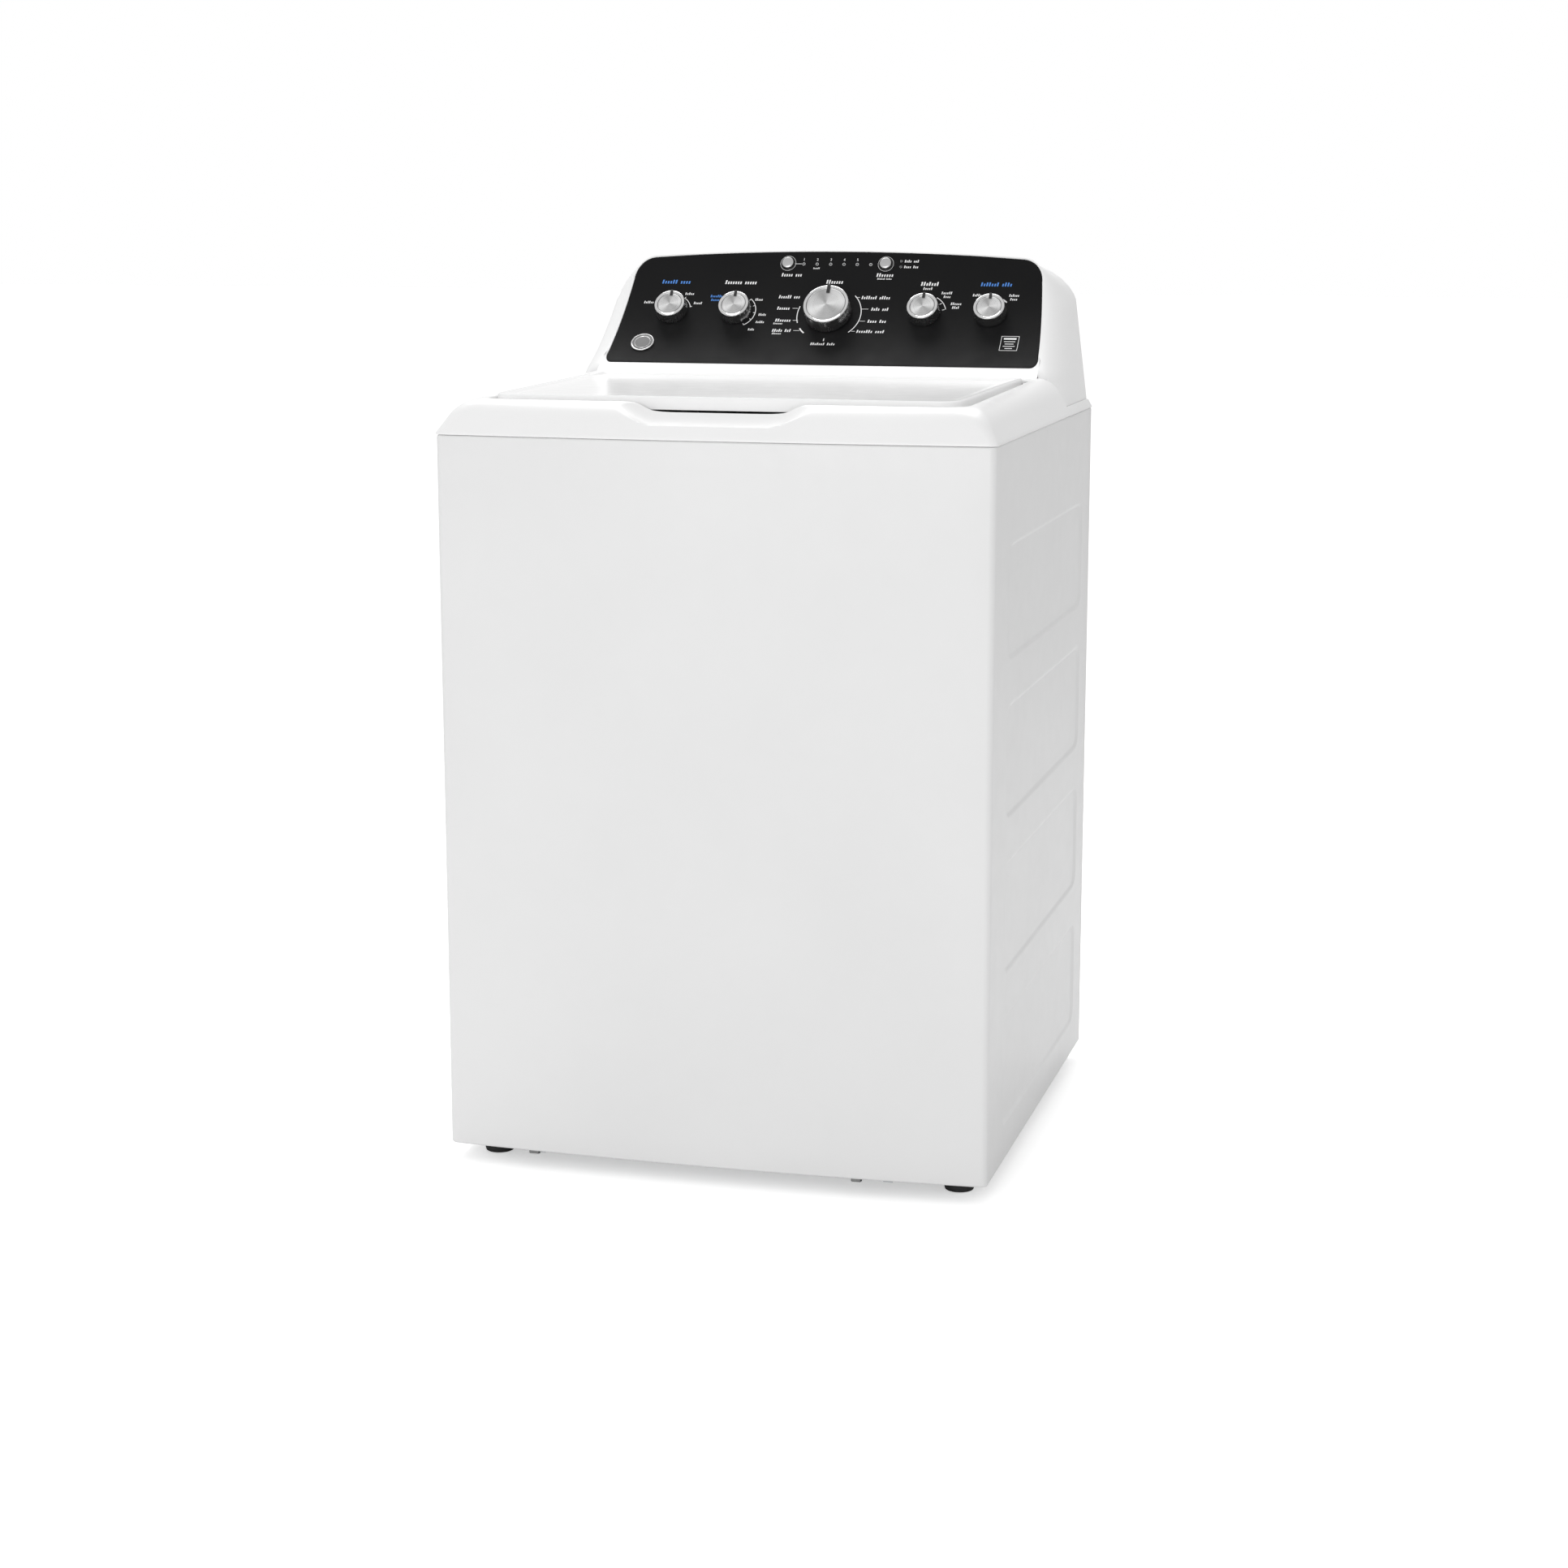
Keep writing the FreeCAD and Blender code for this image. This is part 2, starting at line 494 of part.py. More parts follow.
def corner_waste(t):
    """Waste outside the elliptical corner between the console's front and its side."""
    wires = []
    over = 0.5          # the corner's curve runs this far past both faces before it ends
    for z in [CONSOLE_Z0 - 12, 930.0, 945.0, 962.0] + [974.0 + 12.0 * i for i in range(13)]:
        y = max(panel_y(max(z, 962.0), t), CONSOLE_Y0 + t) - over
        x = FLANK_X0 - FLANK_SLOPE * (z - CONSOLE_Z0) - t
        reach = BLEND_Y * min(1.0, max(0.3, (z - 905.0) / 45.0)) + over
        wide = BLEND_X + over
        quarter = [V(x - BLEND_X + wide * math.sin(a), y + reach * (1 - math.cos(a)), z)
                   for a in [math.radians(15 * i) for i in range(7)]]
        out_x, out_y = x + 12, y - 12
        edges = [spline(quarter), Part.makeLine(quarter[-1], V(out_x, quarter[-1].y, z)),
                 Part.makeLine(V(out_x, quarter[-1].y, z), V(out_x, out_y, z)),
                 Part.makeLine(V(out_x, out_y, z), V(quarter[0].x, out_y, z)),
                 Part.makeLine(V(quarter[0].x, out_y, z), quarter[0])]
        wires.append(Part.Wire(edges))
    return Part.makeLoft(wires, True, True)


def console_solid(t, back):
    solid = console_outline(t, CONSOLE_Y0 - 20, BACK_Y + 20).common(console_profile(t, back))
    waste = corner_waste(t)
    return solid.cut(waste).cut(mirrored(waste))


def fascia_outline(grow):
    """Prism of the black control face: tapered sides, round shoulders, arched top edge."""
    y0, y1 = CONSOLE_Y0 - 20, BACK_Y + 20
    g = grow
    right = [(290.0, 969.3 - g), (297.3 + g, 975.5), (283.0 + g, 1076.0), (253.0, 1106.0 + g)]
    low, side, shoulder, top = [V(x, y0, z) for x, z in right]
    low_mid = V(295.2 + g, y0, 971.3 - g)
    k = (30 + g) * math.sqrt(0.5)
    shoulder_mid = V(253.0 + k, y0, 1076.0 + k)

    def half(sign):
        def flip(p):
            return V(sign * p.x, p.y, p.z)
        return [arc(flip(low), flip(low_mid), flip(side)),
                Part.makeLine(flip(side), flip(shoulder)),
                arc(flip(shoulder), flip(shoulder_mid), flip(top))]
    edges = half(1) + half(-1) + [
        Part.makeLine(V(-low.x, y0, low.z), low),
        arc(top, V(0, y0, 1114.0 + g), V(-top.x, y0, top.z))]
    return Part.Face(Part.Wire(Part.__sortEdges__(edges))).extrude(V(0, y1 - y0, 0))


def panel_band(depth0, depth1):
    """Curved slab between two depths behind the control face."""
    x = HALF_W
    big = Part.makeCylinder(PANEL_R + depth1, 2 * x, V(-x, PANEL_CY, PANEL_CZ), V(1, 0, 0))
    small = Part.makeCylinder(PANEL_R + depth0, 2 * x + 2, V(-x - 1, PANEL_CY, PANEL_CZ),
                              V(1, 0, 0))
    return big.cut(small)


def control_holes(extra=0.0):
    """Drillings along the face normals for shafts, buttons and indicator lenses."""
    tools = [on_panel(cyl(SHAFT_R + 1, -40, 6), x, SMALL_Z) for x in SMALL_KNOBS.values()]
    tools.append(on_panel(cyl(SHAFT_R + 1, -40, 6), 0, MAIN_Z))
    tools += [on_panel(cyl(BUTTON_R + 0.3 + extra, -40, 6), sx * BUTTON_X, BUTTON_Z)
              for sx in (-1, 1)]
    tools += [on_panel(cyl(1.8, -40, 6), x, z) for x, z in led_places()]
    return Part.makeCompound(tools)


def led_places():
    return [(x, LED_Z) for x in LED_XS] + list(LED_PAIR)


def console_housing():
    shell = console_solid(0, BACK_Y).cut(console_solid(CONSOLE_T, BACK_Y + 10))
    pocket = panel_band(-3, FASCIA_T).common(fascia_outline(0.3))
    return shell.cut(pocket).cut(control_holes(0.5))


def control_fascia():
    face = panel_band(0, FASCIA_T - 0.1).common(fascia_outline(0))
    return face.cut(control_holes())


def console_rear_cover():
    """Flat back plate with rows of cooling slots."""
    plate = console_outline(CONSOLE_T + 0.4, BACK_Y - 2.0, BACK_Y - 0.5)
    plate = plate.common(box(-HALF_W, HALF_W, 0, BACK_Y, CONSOLE_Z0 + 1, CONSOLE_TOP))
    slots = [box(x, x + 26, BACK_Y - 5, BACK_Y + 5, z, z + 3)
             for x in range(-110, 100, 36) for z in range(1010, 1052, 10)]
    return plate.cut(Part.makeCompound(slots))


def rotary_switches():
    """Switch bodies behind the panel, with a bore that each knob shaft turns in."""
    case = box(-14, 14, -14, 14, -24, -8)
    case = case.fuse(cyl(6, -9, -5)).cut(cyl(SHAFT_R + RUN_FIT, -20, 0))
    places = [(x, SMALL_Z) for x in SMALL_KNOBS.values()] + [(0, MAIN_Z)]
    return Part.makeCompound([on_panel(case, x, z) for x, z in places])


def knob_body(radius, height, gap):
    """Tapered knob skirt with a recessed face and the shaft that turns the switch."""
    top = gap + height
    skirt = turned([(0, gap + 4), (radius - 3, gap + 4), (radius - 3, gap), (radius, gap),
                    (radius, gap + 3), (radius - 1.4, top - 3.2), (radius - 1.4, top - 2.8),
                    (0, top - 2.8)])
    return fuse([skirt, cyl(SHAFT_R, -18, gap + 6)])


def knob_cap(radius, height, gap):
    """Bright rim and spun face disc set into the top of a knob."""
    top = gap + height
    rim = turned([(radius - 1.0, top - 2.7), (radius - 0.3, top - 1.2), (radius - 1.2, top),
                  (radius - 3.2, top), (radius - 3.6, top - 1.0), (radius - 3.6, top - 2.7)])
    disc = turned([(0, top - 2.7), (radius - 4.2, top - 2.7), (radius - 4.2, top - 1.3),
                   (radius - 4.8, top - 0.9), (0, top - 0.7)])
    return Part.makeCompound([rim, disc])


def knobs():
    for name, x in SMALL_KNOBS.items():
        PARTS[name] = on_panel(knob_body(SMALL_R, SMALL_H, SMALL_GAP), x, SMALL_Z)
        PARTS[name + "_cap"] = on_panel(knob_cap(SMALL_R, SMALL_H, SMALL_GAP), x, SMALL_Z)
    PARTS["cycle_knob"] = on_panel(knob_body(MAIN_R, MAIN_H, MAIN_GAP), 0, MAIN_Z)
    PARTS["cycle_knob_cap"] = on_panel(knob_cap(MAIN_R, MAIN_H, MAIN_GAP), 0, MAIN_Z)


def push_button(x):
    body = turned([(0, -6), (BUTTON_R, -6), (BUTTON_R, 3.6), (BUTTON_R - 0.8, 4.4), (0, 4.6)])
    flange = turned([(0, -7.5), (BUTTON_R + 2, -7.5), (BUTTON_R + 2, -6), (0, -6)])
    return on_panel(fuse([body, flange]), x, BUTTON_Z)


def indicator_lenses():
    lens = turned([(0, -6), (1.6, -6), (1.6, 0.15), (0, 0.35)])
    return Part.makeCompound([on_panel(lens, x, z) for x, z in led_places()])


def emblem_disc():
    """Blank domed badge, hollow-ground to sit on the curved panel."""
    disc = turned([(0, 0.6), (EMBLEM_R, 0.6), (EMBLEM_R, 1.6), (EMBLEM_R - 2, 2.2), (0, 2.0)])
    return on_panel(disc, EMBLEM_X, EMBLEM_Z)


def control_board():
    board = box(-150, 150, BACK_Y - 40, BACK_Y - 38.4, 975, 1035)
    relays = [box(x, x + 22, BACK_Y - 38.4, BACK_Y - 22, 990, 1008) for x in (-110, -70, 40, 90)]
    return fuse([board] + relays)


# ---------------------------------------------------------------- rear connections
def water_inlet_valve():
    """Manifold with a threaded port and a solenoid for each supply."""
    manifold = box(INLET_XS[0] - 20, INLET_XS[1] + 20, BACK_Y - 34, BACK_Y - 4,
                   INLET_Z - 16, INLET_Z + 16)
    pieces = [manifold]
    for x in INLET_XS:
        pieces.append(cyl_y(INLET_R, BACK_Y - 6, BACK_Y + SHEET + 0.1 + INLET_LEN, x, INLET_Z))
        pieces.append(cyl(13, INLET_Z - 46, INLET_Z - 15, x, BACK_Y - 20))
    pieces.append(cyl_y(10, BACK_Y - 55, BACK_Y - 30, FILL_X, INLET_Z))
    solid = fuse(pieces)
    bores = [cyl_y(9.5, BACK_Y - 3, BACK_Y + 30, x, INLET_Z) for x in INLET_XS]
    return solid.cut(Part.makeCompound(bores))


def fill_spout():
    """Water nozzle over the mouth of the tub, and the hose that feeds it."""
    body = box(-225, -170, 96, 118, FILL_Z - 7, FILL_Z + 23)
    hollow = box(-222, -173, 93, 115, FILL_Z - 4, FILL_Z + 20)
    neck = cyl_y(10, 117, 140, FILL_X, FILL_Z)
    nozzle = body.cut(hollow).fuse(neck).cut(cyl_y(7.5, 110, 141, FILL_X, FILL_Z))
    points = [V(FILL_X, 124, FILL_Z), V(FILL_X, 240, FILL_Z), V(FILL_X, 262, INLET_Z),
              V(FILL_X, BACK_Y - 46, INLET_Z)]
    path = hose_path(points, 20)
    return Part.makeCompound([nozzle, pipe(path, 13).cut(pipe(path, 10.1))])


def drain_outlet():
    """Stepped spigot: inner hose stub, flange and outer hose tail."""
    y1 = BACK_Y + SHEET + 0.1 + DRAIN_LEN
    stub = cyl_y(12, BACK_Y - 42, BACK_Y - 24, DRAIN_X, DRAIN_Z)
    spigot = cyl_y(DRAIN_R, BACK_Y - 26, y1, DRAIN_X, DRAIN_Z)
    flange = cyl_y(DRAIN_R + 6, BACK_Y - 4, BACK_Y - 2, DRAIN_X, DRAIN_Z)
    return fuse([stub, spigot, flange]).cut(cyl_y(9.5, BACK_Y - 60, y1 + 1, DRAIN_X, DRAIN_Z))


def power_inlet_bushing():
    body = cyl_y(CORD_R + 4.5, BACK_Y - 8, BACK_Y + 4, CORD_X, CORD_Z)
    flange = cyl_y(CORD_R + 7.5, BACK_Y + 1.6, BACK_Y + 5, CORD_X, CORD_Z)
    return body.fuse(flange).cut(cyl_y(CORD_R, BACK_Y - 20, BACK_Y + 20, CORD_X, CORD_Z))


def rear_screws():
    y = BACK_Y + SHEET + 0.2
    places = [(sx * (HALF_W - 18), z) for sx in (-1, 1) for z in (60, 270, 480, 690, 890)]
    places += [(sx * 290, 960) for sx in (-1, 1)] + [(sx * 150, 935) for sx in (-1, 1)]
    screws = []
    for x, z in places:
        back = y if z < CABINET_Z1 else BACK_Y - 0.4
        screws.append(cyl_y(4.5, back, back + 2.2, x, z))
    return Part.makeCompound(screws)


# ---------------------------------------------------------------- suspended wash unit
def outer_tub():
    wall = turned([(HUB_R, TUB_Z0), (TUB_R - 8, TUB_Z0), (TUB_R, TUB_Z0 + 8), (TUB_R, TUB_Z1),
                   (TUB_R - TUB_T, TUB_Z1), (TUB_R - TUB_T, TUB_Z0 + 9),
                   (TUB_R - 9, TUB_Z0 + TUB_T + 1), (HUB_R + 10, TUB_Z0 + TUB_T + 1),
                   (HUB_R + 10, TUB_Z0 + 9), (HUB_R, TUB_Z0 + 9)], 0, TUB_Y)
    carrier = tube(HUB_R + 10, HUB_R, 192, TUB_Z0 + 2, 0, TUB_Y)
    ears = []
    for x, y in tub_corners():
        ear = box(-20, 20, TUB_R - 2, ROD_XY * math.sqrt(2) + 18, 0, EAR_T)
        ear.rotate(V(0, 0, 0), V(0, 0, 1), math.degrees(math.atan2(y - TUB_Y, x)) - 90)
        ear.translate(V(0, TUB_Y, EAR_Z))
        ears.append(ear.cut(cyl(ROD_R + 1.5, 0, 1000, x, y)))
    return fuse([wall, carrier] + ears)


def tub_ring():
    return turned([(250, 872), (TUB_R + 3, 872), (TUB_R + 3, 848), (TUB_R + 0.3, 848),
                   (TUB_R + 0.3, TUB_Z1 + 0.3), (256, TUB_Z1 + 0.3), (253, TUB_Z1 - 5),
                   (250, TUB_Z1 - 5)], 0, TUB_Y)


def hub_bearings():
    return Part.makeCompound([tube(HUB_R, SPIN_TUBE_R + RUN_FIT, z, z + 16, 0, TUB_Y)
                              for z in (196, 240)])


def gearcase():
    case = turned([(SPIN_TUBE_R + 3, 190), (78, 190), (78, 156), (70, 150), (20, 150),
                   (20, 153), (68, 153), (75, 158), (75, 187), (SPIN_TUBE_R + 3, 187)],
                  0, TUB_Y)
    arms = []
    for i in range(3):
        arm = box(70, 200, -14, 14, 178, 190).fuse(box(186, 200, -14, 14, 178, TUB_Z0 - 0.2))
        arm = arm.cut(cyl(77, 170, 200))
        arm.rotate(V(0, 0, 0), V(0, 0, 1), 120 * i)
        arm.translate(V(0, TUB_Y, 0))
        arms.append(arm)
    return fuse([case] + arms)


def drive_motor():
    z0, z1 = 152.0, 236.0
    body = turned([(9, z0), (50, z0), (62, z0 + 12), (62, z1 - 12), (50, z1), (0, z1),
                   (0, z0 + 14), (9, z0 + 14)], MOTOR_X, TUB_Y)
    feet = [box(MOTOR_X - 50, MOTOR_X - 30, TUB_Y + s * 30 - 8, TUB_Y + s * 30 + 8, z1 - 14,
                TUB_Z0 - 0.2) for s in (-1, 1)]
    feet.append(box(MOTOR_X + 20, MOTOR_X + 34, TUB_Y - 10, TUB_Y + 10, z1 - 14, TUB_Z0 - 0.2))
    return fuse([body] + feet)


def grooved_pulley(r, bore, z0, z1, x):
    """Ribbed belt pulley with its web and hub."""
    outline = [(bore, z0), (r, z0)]
    steps = 5
    pitch = (z1 - z0) / steps
    for i in range(steps):
        outline += [(r, z0 + (i + 0.2) * pitch), (r - 1.5, z0 + (i + 0.5) * pitch),
                    (r, z0 + (i + 0.8) * pitch)]
    return turned(outline + [(r, z1), (bore, z1)], x, TUB_Y)


def motor_rotor():
    pulley = grooved_pulley(MOTOR_PULLEY_R, 0, PULLEY_Z0, PULLEY_Z1, MOTOR_X)
    return fuse([pulley, cyl(7, PULLEY_Z1 - 1, 164, MOTOR_X, TUB_Y)])


def belt_loop(grow):
    """Filled outline of the belt's run round both pulleys, grown by a distance."""
    big, small, span = PULLEY_R + grow, MOTOR_PULLEY_R + grow, abs(MOTOR_X)
    lean = math.asin((big - small) / span)
    z = PULLEY_Z0 + 2

    def rim(cx, r, angle):
        return V(cx + r * math.cos(angle), TUB_Y + r * math.sin(angle), z)
    a0, a1 = math.pi / 2 + lean, -math.pi / 2 - lean
    edges = [arc(rim(0, big, a0), rim(0, big, 0), rim(0, big, a1)),
             Part.makeLine(rim(0, big, a1), rim(MOTOR_X, small, a1)),
             arc(rim(MOTOR_X, small, a1), rim(MOTOR_X, small, math.pi), rim(MOTOR_X, small, a0)),
             Part.makeLine(rim(MOTOR_X, small, a0), rim(0, big, a0))]
    return Part.Face(Part.Wire(Part.__sortEdges__(edges))).extrude(
        V(0, 0, PULLEY_Z1 - PULLEY_Z0 - 4))


def drain_pump():
    """Pump motor under a hollow volute with a side outlet."""
    x, y = PUMP_X, PUMP_Y
    motor = cyl(30, 142, 196, x, y)
    volute = cyl(42, 195, 226, x, y)
    outlet = cyl_x(12, x + 30, x + 62, y, 210)
    neck = cyl(16, 225, TUB_Z0 - 0.2, x, y)
    solid = fuse([motor, volute, outlet, neck])
    cavity = fuse([cyl(38, 199, 222, x, y), cyl_x(9.5, x + 20, x + 70, y, 210)])
    return solid.cut(cavity).cut(cyl(12, 220, TUB_Z0 + 5, x, y)).cut(cyl(2.05, 190, 200, x, y))


def pump_impeller():
    x, y = PUMP_X, PUMP_Y
    blades = [box(2, 30, -1.5, 1.5, 203, 216) for _ in range(6)]
    for i, blade in enumerate(blades):
        blade.rotate(V(0, 0, 0), V(0, 0, 1), 60 * i)
        blade.translate(V(x, y, 0))
    return fuse([cyl(8, 202, 217, x, y), cyl(31, 201, 203.5, x, y), cyl(2.0, 190.5, 203, x, y)]
                + blades)


def hose_path(points, radius):
    """Wire of straight runs joined by arcs that are tangent to both runs."""
    edges = []
    start = points[0]
    for before, corner, after in zip(points, points[1:], points[2:]):
        u = (before - corner).normalize()
        w = (after - corner).normalize()
        half = 0.5 * u.getAngle(w)
        reach = radius / math.tan(half)
        p, q = corner + u * reach, corner + w * reach
        axis = (u + w).normalize()
        mid = corner + axis * (radius / math.sin(half) - radius)
        edges += [Part.makeLine(start, p), arc(p, mid, q)]
        start = q
    edges.append(Part.makeLine(start, points[-1]))
    return Part.Wire(edges)


def pipe(path, r):
    """Round bar of radius r along a path whose first run is straight."""
    start = path.Edges[0]
    origin = start.Vertexes[0].Point
    ring = Part.Wire(Part.makeCircle(r, origin, start.tangentAt(start.FirstParameter)))
    return path.makePipeShell([ring], True, False)


def drain_hose():
    """Inner hose from the pump up to the outlet behind the cabinet."""
    points = [V(PUMP_X + 44, PUMP_Y, 210), V(DRAIN_X, PUMP_Y, 210),
              V(DRAIN_X, HOSE_Y, 210), V(DRAIN_X, HOSE_Y, DRAIN_Z),
              V(DRAIN_X, BACK_Y - 30, DRAIN_Z)]
    path = hose_path(points, 30)
    return pipe(path, 14.5).cut(pipe(path, 12.1))


def suspension_rods():
    solids = []
    for x, y in tub_corners():
        rod = cyl(ROD_R, ROD_BOTTOM, ROD_TOP - 4, x, y)
        ball = Part.makeSphere(9, V(x, y, ROD_TOP - 4)).cut(
            box(x - 20, x + 20, y - 20, y + 20, ROD_TOP - 20, ROD_TOP - 9.8))
        cup = turned([(0, ROD_BOTTOM), (16, ROD_BOTTOM), (16, ROD_BOTTOM + 6), (10, ROD_BOTTOM + 8),
                      (0, ROD_BOTTOM + 8)], x, y)
        solids.append(fuse([rod, ball, cup]))
    return Part.makeCompound(solids)


def suspension_springs():
    z0, z1 = ROD_BOTTOM + 8 + SPRING_WIRE + 0.2, EAR_Z - SPRING_WIRE - 0.2
    turns = 5
    helix = Part.makeHelix((z1 - z0) / turns, z1 - z0, SPRING_R)
    ring = Part.Wire(Part.makeCircle(SPRING_WIRE, V(SPRING_R, 0, 0), V(0, 1, 0)))
    coil = Part.Wire(helix).makePipeShell([ring], True, True)
    solids = []
    for x, y in tub_corners():
        spring = coil.copy()
        spring.translate(V(x, y, z0))
        solids.append(spring)
    return Part.makeCompound(solids)


def wash_basket():
    return turned([(30, BASKET_Z0), (BASKET_R - 14, BASKET_Z0), (BASKET_R - 4, BASKET_Z0 + 4),
                   (BASKET_R, BASKET_Z0 + 14), (BASKET_R, BASKET_Z1),
                   (BASKET_R - BASKET_T, BASKET_Z1), (BASKET_R - BASKET_T, BASKET_Z0 + 14.4),
                   (BASKET_R - 4.8, BASKET_Z0 + 5), (BASKET_R - 14.4, BASKET_Z0 + BASKET_T),
                   (30, BASKET_Z0 + BASKET_T)], 0, TUB_Y)


def balance_ring():
    z0, z1, r = 812.0, 854.0, BASKET_R - BASKET_T - 0.2
    return turned([(240, z0 + 6), (246, z0), (r, z0), (r, BASKET_Z1 + 0.4), (BASKET_R + 1,
                   BASKET_Z1 + 0.4), (BASKET_R + 1, z1), (244, z1), (240, z1 - 4)], 0, TUB_Y)


def basket_hub():
    flange = turned([(DRIVE_SHAFT_R + RUN_FIT, 178), (SPIN_TUBE_R, 178), (SPIN_TUBE_R, 262.5),
                     (120, 262.5), (150, 266), (150, BASKET_Z0 - 0.1), (29.5, BASKET_Z0 - 0.1),
                     (29.5, 284), (DRIVE_SHAFT_R + RUN_FIT, 284)], 0, TUB_Y)
    return flange


def agitator_base():
    """Flared skirt with four washing vanes and the hub that grips the drive shaft."""
    skirt = turned([(165, 288), (152, 300), (84, 330), (64, 360), (58, 400), (54, 400),
                    (60, 359), (80, 327), (148, 297), (160, 288)], 0, TUB_Y)
    hub = turned([(DRIVE_SHAFT_R, 300), (DRIVE_SHAFT_R + 9, 300), (DRIVE_SHAFT_R + 9, 334),
                  (64, 350), (61.5, 356), (DRIVE_SHAFT_R, 342)], 0, TUB_Y)
    mid_wall = turned([(0, 280), (163, 280), (162.5, 288.5), (150, 298.5), (82, 328.5),
                       (62, 359.5), (56, 401), (0, 401)], 0, TUB_Y)
    vanes = []
    for i in range(4):
        vane = polygon([V(40, -4, 330), V(140, -4, 290), V(162, -4, 290.5), V(164, -4, 296),
                        V(130, -4, 345), V(74, -4, 395), V(40, -4, 397)])
        vane = vane.extrude(V(0, 8, 0))
        vane.rotate(V(0, 0, 0), V(0, 0, 1), 45 + 90 * i)
        vane.translate(V(0, TUB_Y, 0))
        vanes.append(vane.cut(mid_wall))
    return fuse([skirt, hub] + vanes)


def agitator_column():
    """Tapered post with two helical lifting fins."""
    post = turned([(57.5, 400.3), (48, 690), (45, 690), (54.5, 400.3)], 0, TUB_Y)
    mid_wall = turned([(0, 399), (56, 399), (46.5, 691), (0, 691)], 0, TUB_Y)
    fins = []
    steps = 16
    for start in (0, 180):
        wires = []
        for i in range(steps + 1):
            f = i / steps
            a = math.radians(start + 300 * f)
            z = 430 + 230 * f
            r0, r1 = 46, 55 + 38 * math.sin(math.pi * f) ** 0.5 + 4
            u = V(math.cos(a), math.sin(a), 0)
            centre = V(0, TUB_Y, z)
            wires.append(Part.makePolygon([centre + u * r0, centre + u * r1,
                                           centre + u * r1 + V(0, 0, 4),
                                           centre + u * r0 + V(0, 0, 6), centre + u * r0]))
        fins.append(Part.makeLoft(wires, True, True).cut(mid_wall))
    return fuse([post] + fins)


def softener_dispenser():
    """Lift-off cup that closes the top of the agitator."""
    return turned([(0, 670), (44, 670), (44, 690.4), (52, 690.4), (54, 760), (44, 768),
                   (44, 765), (50, 758), (48.4, 694), (41, 690), (41, 673), (0, 673)], 0, TUB_Y)


def drive_shaft():
    return cyl(DRIVE_SHAFT_R, 118, 341, 0, TUB_Y)


def bleach_dispenser():
    """Small open cup hung in the front left corner of the mouth."""
    cup = rounded_prism(-258, -196, -256, -214, 886, 930, 8)
    well = rounded_prism(-255.5, -198.5, -253.5, -216.5, 889, 935, 6)
    rim = rounded_prism(-261, -193, -259, -211, 927, 930, 10)
    return cup.fuse(rim).cut(well)


def build():
    """Make every node of the machine."""
    PARTS["cabinet_wrap"] = cabinet_wrap()
    PARTS["cabinet_rear_panel"] = cabinet_rear_panel()
    PARTS["cabinet_braces"] = cabinet_braces()
    for name, (x, y) in foot_places().items():
        PARTS[name] = foot(x, y)
    PARTS["top_cover"] = top_cover()
    PARTS["lid_panel"] = lid_panel()
    PARTS["lid_liner"] = lid_liner()
    PARTS["lid_hinge_pins"] = lid_hinge_pins()
    PARTS["lid_bumpers"] = lid_bumpers()
    PARTS["lid_strike"] = lid_strike()
    PARTS["lid_lock_housing"] = lid_lock_housing()
    PARTS["lid_lock_bolt"] = lid_lock_bolt()
    PARTS["console_housing"] = console_housing()
    PARTS["console_rear_cover"] = console_rear_cover()
    PARTS["control_fascia"] = control_fascia()
    PARTS["control_board"] = control_board()
    PARTS["rotary_switches"] = rotary_switches()
    knobs()
    PARTS["deep_fill_button"] = push_button(-BUTTON_X)
    PARTS["start_button"] = push_button(BUTTON_X)
    PARTS["indicator_lenses"] = indicator_lenses()
    PARTS["emblem_disc"] = emblem_disc()
    PARTS["water_inlet_valve"] = water_inlet_valve()
    PARTS["fill_spout"] = fill_spout()
    PARTS["drain_outlet"] = drain_outlet()
    PARTS["power_inlet_bushing"] = power_inlet_bushing()
    PARTS["rear_screws"] = rear_screws()
    PARTS["bleach_dispenser"] = bleach_dispenser()
    PARTS["suspension_rods"] = suspension_rods()
    PARTS["suspension_springs"] = suspension_springs()
    PARTS["outer_tub"] = outer_tub()
    PARTS["tub_ring"] = tub_ring()
    PARTS["hub_bearings"] = hub_bearings()
    PARTS["gearcase"] = gearcase()
    PARTS["drive_motor"] = drive_motor()
    PARTS["motor_rotor"] = motor_rotor()
    PARTS["drive_belt"] = belt_loop(BELT_GAP + BELT_T).cut(belt_loop(BELT_GAP))
    PARTS["drain_pump"] = drain_pump()
    PARTS["pump_impeller"] = pump_impeller()
    PARTS["drain_hose"] = drain_hose()
    PARTS["wash_basket"] = wash_basket()
    PARTS["basket_hub"] = basket_hub()
    PARTS["balance_ring"] = balance_ring()
    PARTS["agitator_base"] = agitator_base()
    PARTS["agitator_column"] = agitator_column()
    PARTS["softener_dispenser"] = softener_dispenser()
    PARTS["drive_shaft"] = drive_shaft()
    PARTS["drive_pulley"] = grooved_pulley(PULLEY_R, DRIVE_SHAFT_R, PULLEY_Z0, PULLEY_Z1, 0)


def export():
    """Write one STEP file per node."""
    os.makedirs("parts", exist_ok=True)
    for name, shape in PARTS.items():
        shape.exportStep("parts/" + name + ".step")
        print(name, "valid" if shape.isValid() else "NOT VALID", len(shape.Solids),
              round(shape.Volume / 1000.0, 1), "cm3")


build()
export()
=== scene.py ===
"""Looks of a top load washing machine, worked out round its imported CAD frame.

Every new piece is a numpy surface in millimetres, put into a mesh in metres.
X points to the machine's right, Y to its back and Z up, with the origin on the floor.
"""

import json
import logging
import math
from dataclasses import dataclass, field
from enum import Enum

